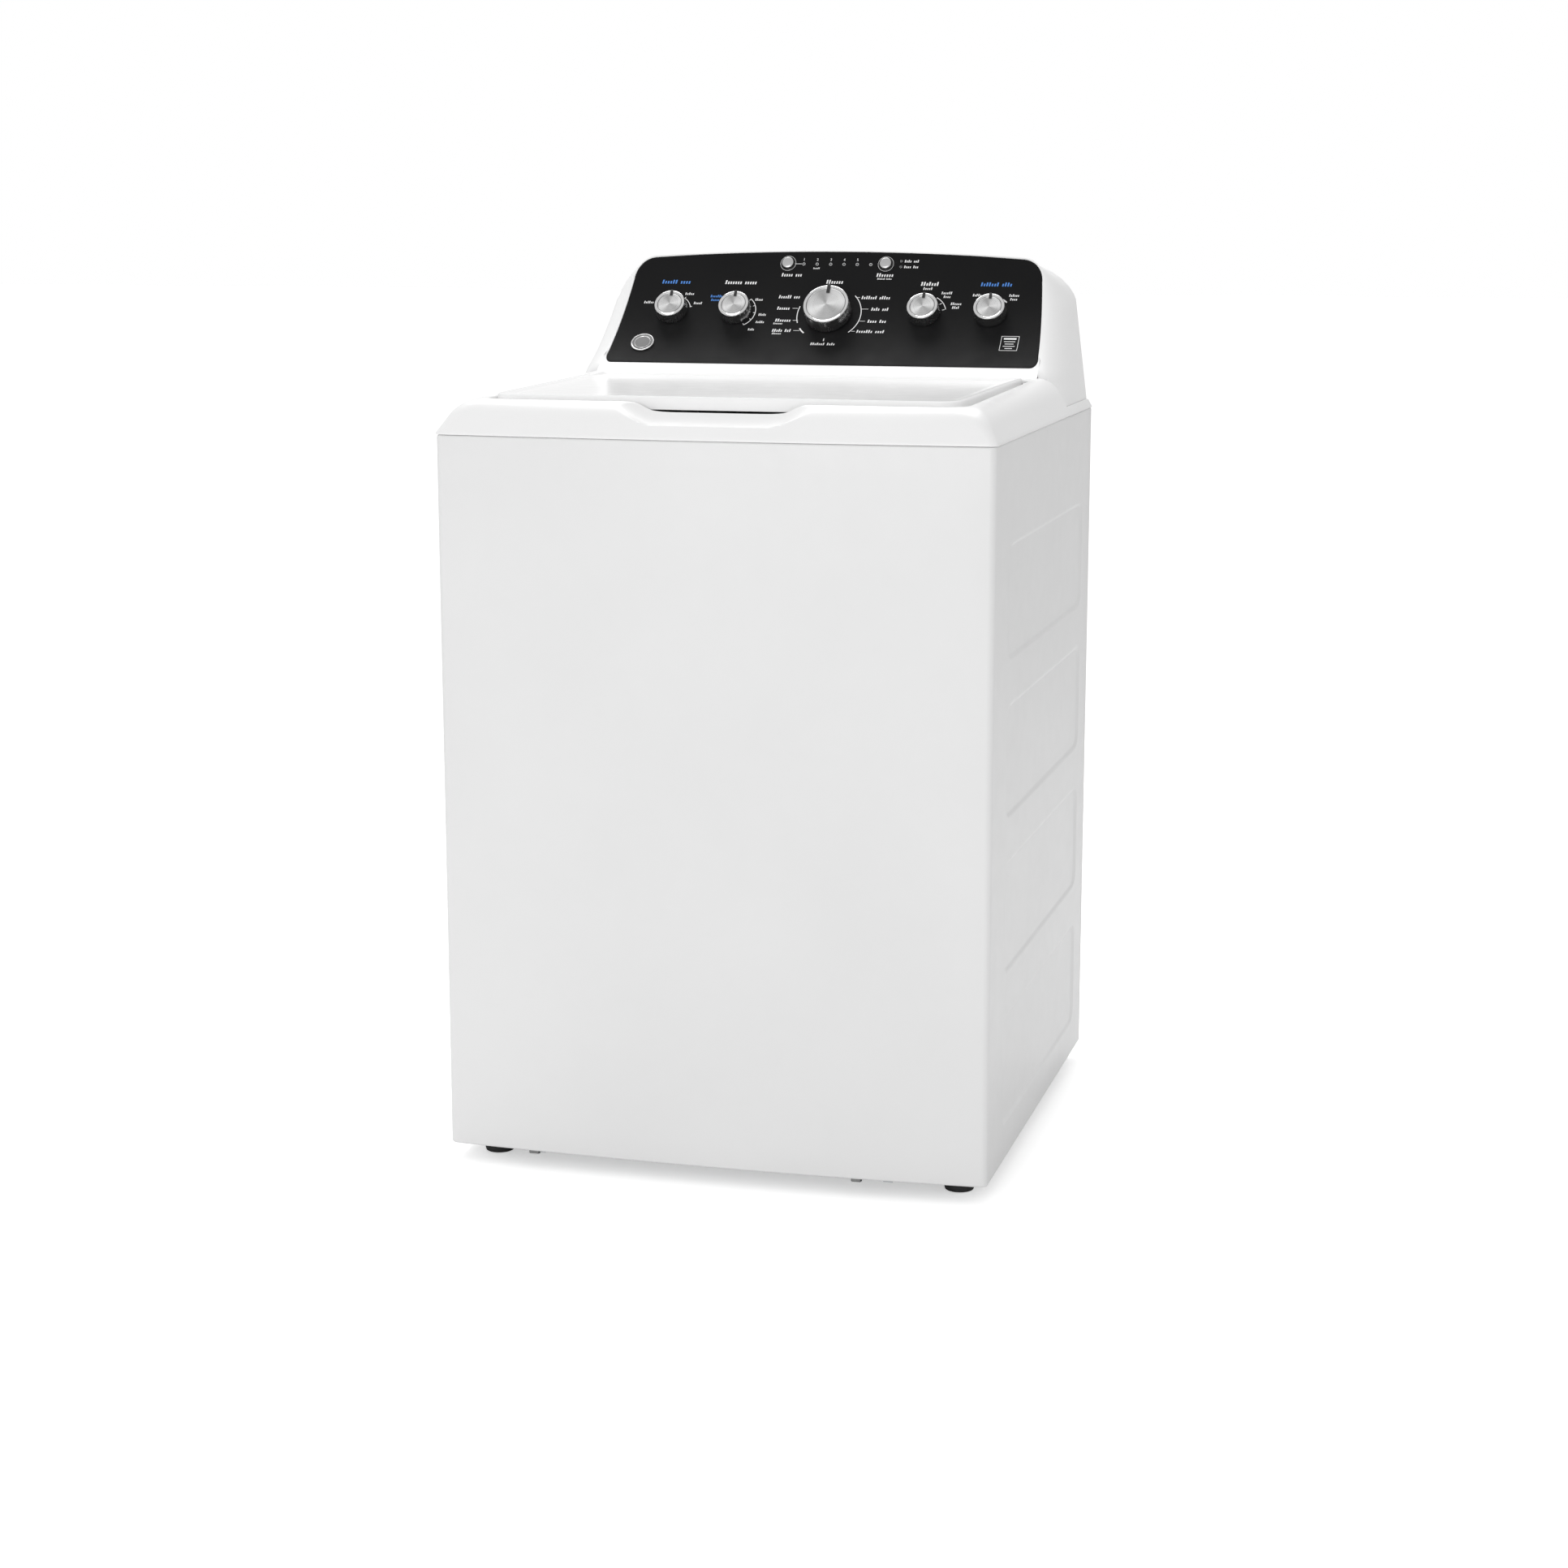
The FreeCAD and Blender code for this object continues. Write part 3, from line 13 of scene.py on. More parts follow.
import bpy
import numpy as np
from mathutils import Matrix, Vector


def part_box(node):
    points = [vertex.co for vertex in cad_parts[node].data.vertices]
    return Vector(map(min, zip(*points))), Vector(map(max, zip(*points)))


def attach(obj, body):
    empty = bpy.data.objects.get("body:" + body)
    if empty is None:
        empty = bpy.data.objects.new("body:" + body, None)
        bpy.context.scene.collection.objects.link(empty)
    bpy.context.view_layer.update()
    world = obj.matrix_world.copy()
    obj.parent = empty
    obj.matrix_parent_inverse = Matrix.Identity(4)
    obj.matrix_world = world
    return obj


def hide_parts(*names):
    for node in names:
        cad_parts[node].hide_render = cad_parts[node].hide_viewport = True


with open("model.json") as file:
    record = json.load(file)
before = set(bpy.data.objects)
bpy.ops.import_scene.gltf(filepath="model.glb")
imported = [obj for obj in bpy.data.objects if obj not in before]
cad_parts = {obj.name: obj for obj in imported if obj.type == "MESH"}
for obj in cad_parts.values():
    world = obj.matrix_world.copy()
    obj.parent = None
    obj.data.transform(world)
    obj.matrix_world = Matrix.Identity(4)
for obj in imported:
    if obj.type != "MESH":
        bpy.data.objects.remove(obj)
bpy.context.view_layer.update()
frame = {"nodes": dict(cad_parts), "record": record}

LOG = logging.getLogger("washer")
MM = 0.001
FULL_TURN = 2.0 * math.pi
Array = np.ndarray
Colour = tuple[float, float, float]


# ------------------------------------------------------------------ surfaces
@dataclass
class Patch:
    """Points with the quads between them, and a flat map coordinate for each quad corner.

    A triangle is a quad that repeats its last corner.
    """

    points: Array
    quads: Array
    uv: Array | None = None

    def moved(self, place: "Place") -> "Patch":
        """The same surface with its local axes turned to a place."""
        return Patch(place.to_frame(self.points), self.quads, self.uv)

    def volume_about(self, inside: Array) -> float:
        """Signed volume of the cones from a point to every face, positive if they face away.

        Args:
            inside: the point.
        Returns:
            The volume, in cubic millimetres.
        """
        p = (self.points - inside)[self.quads]
        first = np.einsum("ij,ij->i", p[:, 0], np.cross(p[:, 1], p[:, 2]))
        second = np.einsum("ij,ij->i", p[:, 0], np.cross(p[:, 2], p[:, 3]))
        return float((first + second).sum() / 6.0)

    def flipped(self) -> "Patch":
        """The same surface with every face turned round."""
        uv = None if self.uv is None else self.uv[:, ::-1]
        return Patch(self.points, self.quads[:, ::-1], uv)

    def outward(self, inside: Array | None = None) -> "Patch":
        """The surface with its faces pointing away from a point within it.

        Args:
            inside: the point, or None for the middle of the surface.
        Returns:
            This patch, or its flipped copy.
        """
        point = self.points.mean(0) if inside is None else np.asarray(inside, float)
        return self if self.volume_about(point) >= 0 else self.flipped()


def joined(patches: list[Patch]) -> Patch:
    """Several surfaces as one, their points numbered on.

    Args:
        patches: the surfaces, in order.
    Returns:
        One surface, with a map if every one of them has its own.
    """
    starts = np.cumsum([0] + [len(p.points) for p in patches[:-1]])
    points = np.concatenate([p.points for p in patches])
    quads = np.concatenate([p.quads + s for p, s in zip(patches, starts)])
    if any(p.uv is None for p in patches):
        return Patch(points, quads)
    return Patch(points, quads, np.concatenate([p.uv for p in patches]))


def grid_patch(points: Array, wrap: bool = False) -> Patch:
    """The quads between neighbouring points of a grid.

    Args:
        points: array of rows by columns by 3, or by 2 for a flat patch.
        wrap: joins the last column to the first.
    Returns:
        The surface, with a map coordinate that runs from 0 to 1 along rows and columns.
    """
    rows, columns = points.shape[:2]
    spans = rows - 1, columns if wrap else columns - 1
    a, b = (g.ravel() for g in np.meshgrid(np.arange(spans[0]), np.arange(spans[1]), indexing="ij"))
    corners = [(a, b), (a, b + 1), (a + 1, b + 1), (a + 1, b)]
    quads = np.stack([i * columns + j % columns for i, j in corners], 1)
    uv = np.stack([np.stack([j / spans[1], i / spans[0]], 1) for i, j in corners], 1)
    return Patch(points.reshape(rows * columns, -1), quads, uv)


def loft(rings: list[Array]) -> Patch:
    """A skin through closed rings of equally many points."""
    return grid_patch(np.stack(rings), wrap=True)


def welded(patch: Patch, grid: float = 0.004) -> tuple[Array, list[Array], list[Array]]:
    """Merges points that coincide and drops faces that have no area.

    Args:
        patch: the surface.
        grid: how near two points have to be, in millimetres.
    Returns:
        The points, then the quads and the triangles, each with its map coordinates.
    """
    keys = np.round(patch.points / grid).astype(np.int64)
    _, first, index = np.unique(keys, axis=0, return_index=True, return_inverse=True)
    quads = index.reshape(-1)[patch.quads]
    uv = np.zeros(quads.shape + (2,)) if patch.uv is None else patch.uv
    same = quads == np.roll(quads, -1, axis=1)
    crossed = (quads[:, 0] == quads[:, 2]) | (quads[:, 1] == quads[:, 3])
    whole = ~same.any(1) & ~crossed
    single = (same.sum(1) == 1) & ~crossed
    start = same[single].argmax(1)[:, None]
    turn = (np.arange(1, 4)[None] + start) % 4
    rows = np.arange(len(start))[:, None]
    triangles = quads[single][rows, turn]
    return patch.points[first], [quads[whole], uv[whole]], [triangles, uv[single][rows, turn]]


def fillet(corners: list[tuple[float, float, float]], steps: int = 5) -> Array:
    """A line through corners, each rounded with its own radius.

    Args:
        corners: across, up and radius of each corner in turn.
        steps: points on each rounded corner.
    Returns:
        The points of the line. A rounded corner is a curve that starts and ends on its two
        straight runs, at radius times the tangent of half the turn from the corner.
    """
    line = []
    for i, (x, z, radius) in enumerate(corners):
        here = np.array([x, z])
        if radius <= 0 or i in (0, len(corners) - 1):
            line.append(here[None])
            continue
        before = np.array(corners[i - 1][:2]) - here
        after = np.array(corners[i + 1][:2]) - here
        before, after = before / np.linalg.norm(before), after / np.linalg.norm(after)
        half_turn = 0.5 * (math.pi - math.acos(float(np.clip(before @ after, -1, 1))))
        reach = radius * math.tan(half_turn)
        t = np.linspace(0, 1, steps)[:, None]
        top = (1 - t) ** 2 * (here + before * reach) + t**2 * (here + after * reach)
        middle = 2 * t * (1 - t) * math.cos(half_turn)
        line.append((top + middle * here) / ((1 - t) ** 2 + t**2 + middle))
    return np.concatenate(line)


def smooth_step(x: Array, low: float, high: float) -> Array:
    """0 below low and 1 above high, with an even S between them."""
    t = np.clip((x - low) / (high - low), 0.0, 1.0)
    return t * t * (3.0 - 2.0 * t)


def soft_min(a: Array, b: Array, width: float) -> Array:
    """The lower of two heights, with their crease rounded over a width."""
    return 0.5 * (a + b) - 0.5 * np.sqrt((a - b) ** 2 + width * width)


@dataclass(frozen=True)
class Place:
    """A local frame: where its origin is and how its three axes point."""

    origin: tuple[float, float, float] = (0.0, 0.0, 0.0)
    right: tuple[float, float, float] = (1.0, 0.0, 0.0)
    ahead: tuple[float, float, float] = (0.0, 1.0, 0.0)
    out: tuple[float, float, float] = (0.0, 0.0, 1.0)

    def to_frame(self, points: Array) -> Array:
        """Local points in the machine's frame."""
        return np.array(self.origin) + points @ np.array([self.right, self.ahead, self.out])


def revolved(profile: Array, place: Place = Place(), steps: int = 96) -> Patch:
    """A surface of revolution: each profile point turns about the place's out axis.

    Args:
        profile: radius and height of each point.
        place: the frame that it stands in.
        steps: points around.
    Returns:
        The surface, closed around, with the angle and the profile as map coordinates.
    """
    angle = np.linspace(0, FULL_TURN, steps, endpoint=False)
    r, h = profile[:, :1], profile[:, 1:]
    points = np.stack([r * np.cos(angle), r * np.sin(angle), h + 0 * angle], -1)
    return grid_patch(points, wrap=True).moved(place)


def plate(outline: Array, levels: list[tuple[float, float]], place: Place = Place()) -> Patch:
    """A closed plate whose edge follows levels, shut above and below at its middle.

    Args:
        outline: closed line of points by 2.
        levels: inset and height of each ring, from the bottom face to the top face.
        place: the frame that it stands in.
    Returns:
        The surface. Each ring is the outline moved inwards along its own normals.
    """
    middle = outline.mean(0)
    flat = [middle + 0 * outline]
    flat += [inset_line(outline, inset) for inset, _ in levels]
    flat += [middle + 0 * outline]
    heights = [levels[0][1]] + [height for _, height in levels] + [levels[-1][1]]
    rings = [np.column_stack([line, np.full(len(line), h)]) for line, h in zip(flat, heights)]
    return loft(rings).moved(place)


def inset_line(outline: Array, inset: float) -> Array:
    """A closed line moved inwards: each point goes along the normal of its neighbours' chord.

    Args:
        outline: closed line of points by 2.
        inset: distance inwards, in millimetres.
    Returns:
        The moved line, with as many points.
    """
    ahead = np.roll(outline, -1, axis=0) - np.roll(outline, 1, axis=0)
    normal = np.stack([-ahead[:, 1], ahead[:, 0]], 1)
    normal /= np.maximum(np.linalg.norm(normal, axis=1, keepdims=True), 1e-9)
    area = np.sum(outline[:, 0] * np.roll(outline[:, 1], -1) - outline[:, 1] * np.roll(outline[:, 0], -1))
    return outline + normal * inset * (1.0 if area > 0 else -1.0)


def round_bar(half_x: float, half_y: float, radius: float, steps: int = 6) -> Array:
    """Closed outline of a rectangle with round corners about the origin.

    Args:
        half_x: half its width.
        half_y: half its height.
        radius: of the corners.
        steps: points on each corner.
    Returns:
        Points by 2, anticlockwise.
    """
    quarter = np.linspace(0, math.pi / 2, steps)
    centres = [(1, 1, 0), (-1, 1, 1), (-1, -1, 2), (1, -1, 3)]
    parts = []
    for sx, sy, turn in centres:
        a = quarter + turn * math.pi / 2
        corner = np.stack([np.cos(a), np.sin(a)], 1) * radius
        parts.append(corner + [sx * (half_x - radius), sy * (half_y - radius)])
    return np.concatenate(parts)


# ------------------------------------------------------------------ finishes
class Pattern(Enum):
    """How a surface varies."""

    GRAIN = "fine grain"
    BRUSHED = "brushed streaks"
    SPANGLE = "zinc spangle"
    SPUN = "spun rings"
    CAST = "cast skin"


class Tree:
    """Adds nodes to a node tree and joins their sockets."""

    def __init__(self, tree: bpy.types.NodeTree) -> None:
        """Starts on an empty tree."""
        self.tree = tree
        tree.nodes.clear()

    def add(self, kind: str, inputs: dict | None = None, **settings: object) -> bpy.types.Node:
        """Adds a node.

        Args:
            kind: the node's type name.
            inputs: a value or another node's output for each named or numbered input.
            settings: the node's own properties.
        Returns:
            The node.
        """
        node = self.tree.nodes.new(kind)
        node.location.x = 180.0 * len(self.tree.nodes)
        for key, value in settings.items():
            setattr(node, key, value)
        for key, value in (inputs or {}).items():
            if isinstance(value, bpy.types.NodeSocket):
                self.tree.links.new(value, node.inputs[key])
            else:
                node.inputs[key].default_value = value
        return node

    def maths(self, operation: str, *values: object) -> bpy.types.NodeSocket:
        """One Math node's output."""
        return self.add("ShaderNodeMath", dict(enumerate(values)), operation=operation).outputs[0]

    def noise(self, vector: bpy.types.NodeSocket, scale: object, detail: float = 2.0) -> bpy.types.NodeSocket:
        """A noise value from 0 to 1."""
        node = self.add("ShaderNodeTexNoise", {"Vector": vector, "Scale": scale, "Detail": detail})
        return node.outputs["Fac"]

    def mix(self, factor: object, a: object, b: object) -> bpy.types.NodeSocket:
        """A mix of two colours."""
        return self.add("ShaderNodeMix", {0: factor, 6: a, 7: b}, data_type="RGBA").outputs[2]

    def spread(self, value: object, low: object, high: object) -> bpy.types.NodeSocket:
        """A noise value's middle range carried to low and high."""
        inputs = {"Value": value, "From Min": 0.3, "From Max": 0.7, "To Min": low, "To Max": high}
        return self.add("ShaderNodeMapRange", inputs).outputs[0]


class PatternGroups:
    """Node groups that every finish shares, one for each pattern, made when first asked for."""

    made: dict[Pattern, bpy.types.NodeTree] = {}

    @classmethod
    def get(cls, pattern: Pattern) -> bpy.types.NodeTree:
        """The group of a pattern.

        Args:
            pattern: which of the patterns.
        Returns:
            The shader node group, built on first use.
        """
        if pattern not in cls.made:
            cls.made[pattern] = cls.build(pattern)
        return cls.made[pattern]

    @classmethod
    def build(cls, pattern: Pattern) -> bpy.types.NodeTree:
        """Makes a group that puts out a colour, a roughness and a height.

        Args:
            pattern: which pattern the group draws.
        Returns:
            The group. Its inputs are a place, the light and dark colours, the least and most
            roughness, and the pattern's cells in a metre.
        """
        group = bpy.data.node_groups.new(pattern.value, "ShaderNodeTree")
        tree = Tree(group)
        sockets = [("Place", "NodeSocketVector"), ("Light", "NodeSocketColor"), ("Dark", "NodeSocketColor"),
                   ("Smooth", "NodeSocketFloat"), ("Rough", "NodeSocketFloat"), ("Cells", "NodeSocketFloat")]
        for name, kind in sockets:
            group.interface.new_socket(name, in_out="INPUT", socket_type=kind)
        for name, kind in (("Colour", "NodeSocketColor"), ("Roughness", "NodeSocketFloat"),
                           ("Height", "NodeSocketFloat")):
            group.interface.new_socket(name, in_out="OUTPUT", socket_type=kind)
        start = tree.add("NodeGroupInput").outputs
        tone, gloss, height = getattr(cls, pattern.name.lower())(tree, start)
        colour = tree.mix(tone, start["Dark"], start["Light"])
        rough = tree.spread(gloss, start["Smooth"], start["Rough"])
        tree.add("NodeGroupOutput", {"Colour": colour, "Roughness": rough, "Height": height})
        return group

    @staticmethod
    def grain(tree: Tree, start: bpy.types.NodeInputs) -> tuple:
        """Slow change of tone, patchy gloss and a fine even grain.

        Args:
            tree: the group's nodes.
            start: the sockets of the group's inputs.
        Returns:
            The sockets that carry tone, gloss and height.
        """
        slow = tree.spread(tree.noise(start["Place"], 5.0, 3.0), 0.0, 1.0)
        patchy = tree.noise(start["Place"], 38.0, 4.0)
        return slow, patchy, tree.noise(start["Place"], start["Cells"], 2.0)

    @staticmethod
    def brushed(tree: Tree, start: bpy.types.NodeInputs) -> tuple:
        """Streaks that run level, from a noise that is squeezed along Z.

        Args:
            tree: the group's nodes.
            start: the sockets of the group's inputs.
        Returns:
            The sockets that carry tone, gloss and height.
        """
        squeeze = tree.add("ShaderNodeVectorMath", {0: start["Place"], 1: (0.02, 0.02, 1.0)},
                           operation="MULTIPLY").outputs[0]
        streak = tree.noise(squeeze, start["Cells"], 4.0)
        slow = tree.spread(tree.noise(start["Place"], 9.0, 2.0), 0.0, 0.7)
        tone = tree.maths("ADD", slow, tree.maths("MULTIPLY", streak, 0.3))
        return tone, streak, streak

    @staticmethod
    def spangle(tree: Tree, start: bpy.types.NodeInputs) -> tuple:
        """Flat crystals, each with its own tone and gloss.

        Args:
            tree: the group's nodes.
            start: the sockets of the group's inputs.
        Returns:
            The sockets that carry tone, gloss and height.
        """
        cells = tree.add("ShaderNodeTexVoronoi", {"Vector": start["Place"], "Scale": start["Cells"]})
        each = tree.add("ShaderNodeSeparateColor", {0: cells.outputs["Color"]}).outputs
        smear = tree.noise(start["Place"], 12.0, 3.0)
        tone = tree.maths("ADD", tree.maths("MULTIPLY", each[0], 0.6), tree.maths("MULTIPLY", smear, 0.4))
        return tone, each[1], tree.noise(start["Place"], 900.0, 2.0)

    @staticmethod
    def spun(tree: Tree, start: bpy.types.NodeInputs) -> tuple:
        """Rings about the middle of a turned face, with two lighter fans of painted highlight that stand in
        for the spun metal's reflection, from its own map.

        Args:
            tree: the group's nodes.
            start: the sockets of the group's inputs.
        Returns:
            The sockets that carry tone, gloss and height.
        """
        parts = tree.add("ShaderNodeSeparateXYZ", {0: start["Place"]}).outputs
        across = tree.maths("MULTIPLY", parts[1], start["Cells"])
        rings = tree.add("ShaderNodeTexNoise", {"W": across, "Scale": 1.0, "Detail": 3.0},
                         noise_dimensions="1D").outputs["Fac"]
        # painted highlight: broad and narrow bright sectors round the face, in place of the spun metal's
        # reflection
        highlight_fans = tree.maths("SINE", tree.maths("MULTIPLY_ADD", parts[0], 2 * FULL_TURN, 0.4))
        finer_highlight_fans = tree.maths("SINE", tree.maths("MULTIPLY_ADD", parts[0], 5 * FULL_TURN, 1.3))
        painted_highlight = tree.maths("ADD", tree.maths("MULTIPLY", highlight_fans, 0.3), tree.maths("MULTIPLY", finer_highlight_fans, 0.12))
        tone = tree.maths("ADD", tree.maths("ADD", painted_highlight, 0.45), tree.maths("MULTIPLY", rings, 0.2))
        return tone, rings, rings

    @staticmethod
    def cast(tree: Tree, start: bpy.types.NodeInputs) -> tuple:
        """Pitted skin with cloudy tone.

        Args:
            tree: the group's nodes.
            start: the sockets of the group's inputs.
        Returns:
            The sockets that carry tone, gloss and height.
        """
        pits = tree.add("ShaderNodeTexVoronoi", {"Vector": start["Place"], "Scale": start["Cells"]})
        cloud = tree.noise(start["Place"], 30.0, 5.0)
        return tree.spread(cloud, 0.0, 1.0), cloud, pits.outputs["Distance"]


MATERIALS: dict[str, bpy.types.Material] = {}


@dataclass(frozen=True)
class Finish:
    """One surface finish: its two tones, its range of gloss and its relief."""

    name: str
    light: Colour
    dark: Colour
    gloss: tuple[float, float]
    pattern: Pattern = Pattern.GRAIN
    cells: float = 900.0
    relief: float = 0.02
    metallic: float = 0.0
    coat: float = 0.0
    anisotropic: float = 0.0
    specular: float = 0.5
    shown: float = 0.0

    def material(self) -> bpy.types.Material:
        """The finish as a material, made once.

        Returns:
            A Principled material whose colour, roughness and bump come from the pattern's group.
        """
        if self.name in MATERIALS:
            return MATERIALS[self.name]
        material = MATERIALS[self.name] = bpy.data.materials.new(f"{self.name}_finish")
        material.use_nodes = True
        tree = Tree(material.node_tree)
        place = tree.add("ShaderNodeTexCoord").outputs["UV" if self.pattern is Pattern.SPUN else "Object"]
        group = tree.add("ShaderNodeGroup", {
            "Place": place, "Light": (*self.light, 1), "Dark": (*self.dark, 1), "Smooth": self.gloss[0],
            "Rough": self.gloss[1], "Cells": self.cells}, node_tree=PatternGroups.get(self.pattern))
        bump = tree.add("ShaderNodeBump", {
            "Height": group.outputs["Height"], "Strength": self.relief, "Distance": 0.0006})
        shader = tree.add("ShaderNodeBsdfPrincipled", {
            "Base Color": group.outputs["Colour"], "Roughness": group.outputs["Roughness"],
            "Normal": bump.outputs["Normal"], "Metallic": self.metallic, "Coat Weight": self.coat,
            "Coat Roughness": 0.06, "Anisotropic": self.anisotropic, "Specular IOR Level": self.specular,
            "Emission Color": (*self.light, 1)})
        if self.shown:
            seen = tree.add("ShaderNodeLightPath").outputs["Is Camera Ray"]
            tree.tree.links.new(tree.maths("MULTIPLY", seen, self.shown), shader.inputs["Emission Strength"])
        if self.anisotropic:
            tangent = tree.add("ShaderNodeTangent", direction_type="UV_MAP", uv_map="map")
            tree.tree.links.new(tangent.outputs[0], shader.inputs["Tangent"])
        tree.add("ShaderNodeOutputMaterial", {"Surface": shader.outputs[0]})
        return material


def grey(value: float) -> Colour:
    """A neutral colour."""
    return (value, value, value)


class Finishes:
    """Every finish of the machine, by its slot's name where the frame has that slot."""

    white_enamel = Finish("white_enamel", grey(0.81), grey(0.79), (0.30, 0.40), relief=0.012)
    white_plastic = Finish("white_plastic", grey(0.92), grey(0.90), (0.30, 0.38), relief=0.006)
    lid_enamel = Finish("lid_enamel", grey(0.93), grey(0.91), (0.11, 0.15), cells=400.0, relief=0.006,
                        specular=0.012)
    black_fascia = Finish("black_fascia", (0.0098, 0.0098, 0.0102), (0.0072, 0.0072, 0.0076), (0.40, 0.50),
                          cells=3800.0, relief=0.16, specular=0.08)
    knob_black = Finish("knob_black", grey(0.008), grey(0.006), (0.05, 0.1), relief=0.01, coat=0.5)
    # the gap between its light and dark tones is swung round the knob face as painted highlight fans by the
    # spun pattern
    spun_silver = Finish("spun_silver", grey(0.86), grey(0.38), (0.26, 0.36), Pattern.SPUN, 150.0, 0.10,
                         metallic=1.0, anisotropic=0.6)
    chrome = Finish("bright_chrome", grey(0.80), grey(0.74), (0.06, 0.1), cells=500.0, relief=0.005,
                    metallic=1.0)
    smoked_chrome = Finish("smoked_chrome", grey(0.66), grey(0.58), (0.22, 0.30), cells=500.0, relief=0.005,
                           metallic=1.0)
    button_silver = Finish("button_silver", grey(0.60), grey(0.52), (0.28, 0.36), cells=4000.0, relief=0.05,
                           metallic=1.0)
    lens_clear = Finish("lens_clear", (0.10, 0.105, 0.11), grey(0.08), (0.08, 0.14), cells=800.0, relief=0.01,
                        coat=0.3)
    badge_metal = Finish("badge_metal", grey(0.78), grey(0.68), (0.14, 0.22), cells=1200.0, relief=0.01,
                         metallic=1.0)
    board_green = Finish("board_green", (0.05, 0.22, 0.10), (0.03, 0.14, 0.06), (0.3, 0.45), cells=260.0)
    switch_grey = Finish("switch_grey", grey(0.22), grey(0.18), (0.38, 0.5), cells=1500.0, relief=0.05)
    black_rubber = Finish("black_rubber", grey(0.022), grey(0.014), (0.6, 0.78), cells=1800.0, relief=0.08)
    grey_plastic = Finish("grey_plastic", (0.46, 0.47, 0.48), grey(0.40), (0.36, 0.48), cells=1500.0,
                          relief=0.05)
    tub_plastic = Finish("tub_plastic", (0.70, 0.71, 0.70), (0.62, 0.63, 0.62), (0.38, 0.5), relief=0.08)
    stainless = Finish("stainless", grey(0.82), grey(0.73), (0.26, 0.38), Pattern.BRUSHED, 1500.0, 0.012,
                       metallic=1.0)
    agitator_plastic = Finish("agitator_plastic", (0.80, 0.81, 0.82), (0.76, 0.77, 0.78), (0.2, 0.28),
                              cells=1600.0)
    cast_aluminium = Finish("cast_aluminium", grey(0.52), grey(0.38), (0.4, 0.58), Pattern.CAST, 420.0, 0.2,
                            metallic=0.9)
    steel_dark = Finish("steel_dark", grey(0.32), grey(0.22), (0.28, 0.45), Pattern.BRUSHED, 1200.0, 0.05,
                        metallic=1.0)
    galvanised_steel = Finish("galvanised_steel", (0.56, 0.58, 0.59), (0.44, 0.46, 0.475), (0.32, 0.48),
                              Pattern.SPANGLE, 150.0, 0.02, metallic=0.85)
    inlet_plastic = Finish("inlet_plastic", (0.74, 0.74, 0.70), (0.68, 0.68, 0.64), (0.34, 0.45),
                           cells=1300.0, relief=0.04)
    white_ink = Finish("white_ink", grey(0.92), grey(0.88), (0.4, 0.5), cells=3000.0, relief=0.01)
    blue_ink = Finish("blue_ink", (0.075, 0.26, 0.72), (0.065, 0.23, 0.66), (0.4, 0.5), cells=3000.0,
                      relief=0.01)
    floor = Finish("pale_floor", grey(0.93), grey(0.92), (0.6, 0.7), cells=60.0, relief=0.0, shown=0.5)

    @classmethod
    def of_slot(cls, slot: str) -> Finish:
        """The finish of one of the record's material slots."""
        return getattr(cls, slot)


# ------------------------------------------------------------------ pieces
@dataclass
class Maker:
    """Turns surfaces into pieces that ride on the frame's bodies, and reports each one."""

    made: list[str] = field(default_factory=list)

    def piece(self, name: str, patch: Patch, finish: Finish, body: str = "cabinet", slot: str = "",
              replaces: tuple[str, ...] = (), wall: float = 0.0, crease: float = 32.0) -> bpy.types.Object:
        """Makes a piece of the machine.

        Args:
            name: the piece's name.
            patch: its surface in millimetres, facing outwards.
            finish: what it is dressed in.
            body: the body that it moves with.
            slot: the record's slot or the finish's own name; not used.
            replaces: the CAD nodes that it stands for.
            wall: thickness in millimetres that an open skin is given, inwards.
            crease: edges that turn more than this many degrees stay sharp.
        Returns:
            The object.
        """
        points, (quads, quad_uv), (triangles, triangle_uv) = welded(patch)
        mesh = bpy.data.meshes.new(name)
        mesh.from_pydata((points * MM).tolist(), [], quads.tolist() + triangles.tolist())
        corners = np.concatenate([quad_uv.reshape(-1, 2), triangle_uv.reshape(-1, 2)])
        mesh.uv_layers.new(name="map").data.foreach_set("uv", corners.astype(np.float32).ravel())
        mesh.polygons.foreach_set("use_smooth", np.ones(len(mesh.polygons), bool))
        mesh.set_sharp_from_angle(angle=math.radians(crease))
        mesh.materials.append(finish.material())
        mesh.validate()
        piece = bpy.data.objects.new(name, mesh)
        bpy.context.scene.collection.objects.link(piece)
        if wall:
            shell = piece.modifiers.new("wall", "SOLIDIFY")
            shell.thickness, shell.offset = wall * MM, -1.0
            thick = piece.evaluated_get(bpy.context.evaluated_depsgraph_get())
            solid = bpy.data.meshes.new_from_object(thick)
            piece.modifiers.clear()
            solid.set_sharp_from_angle(angle=math.radians(crease))
            piece.data = solid
        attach(piece, body)
        if replaces:
            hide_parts(*replaces)
        self.made.append(name)
        LOG.info("%s: %d points, rides on %s", name, len(points), body)
        return piece


MAKER = Maker()


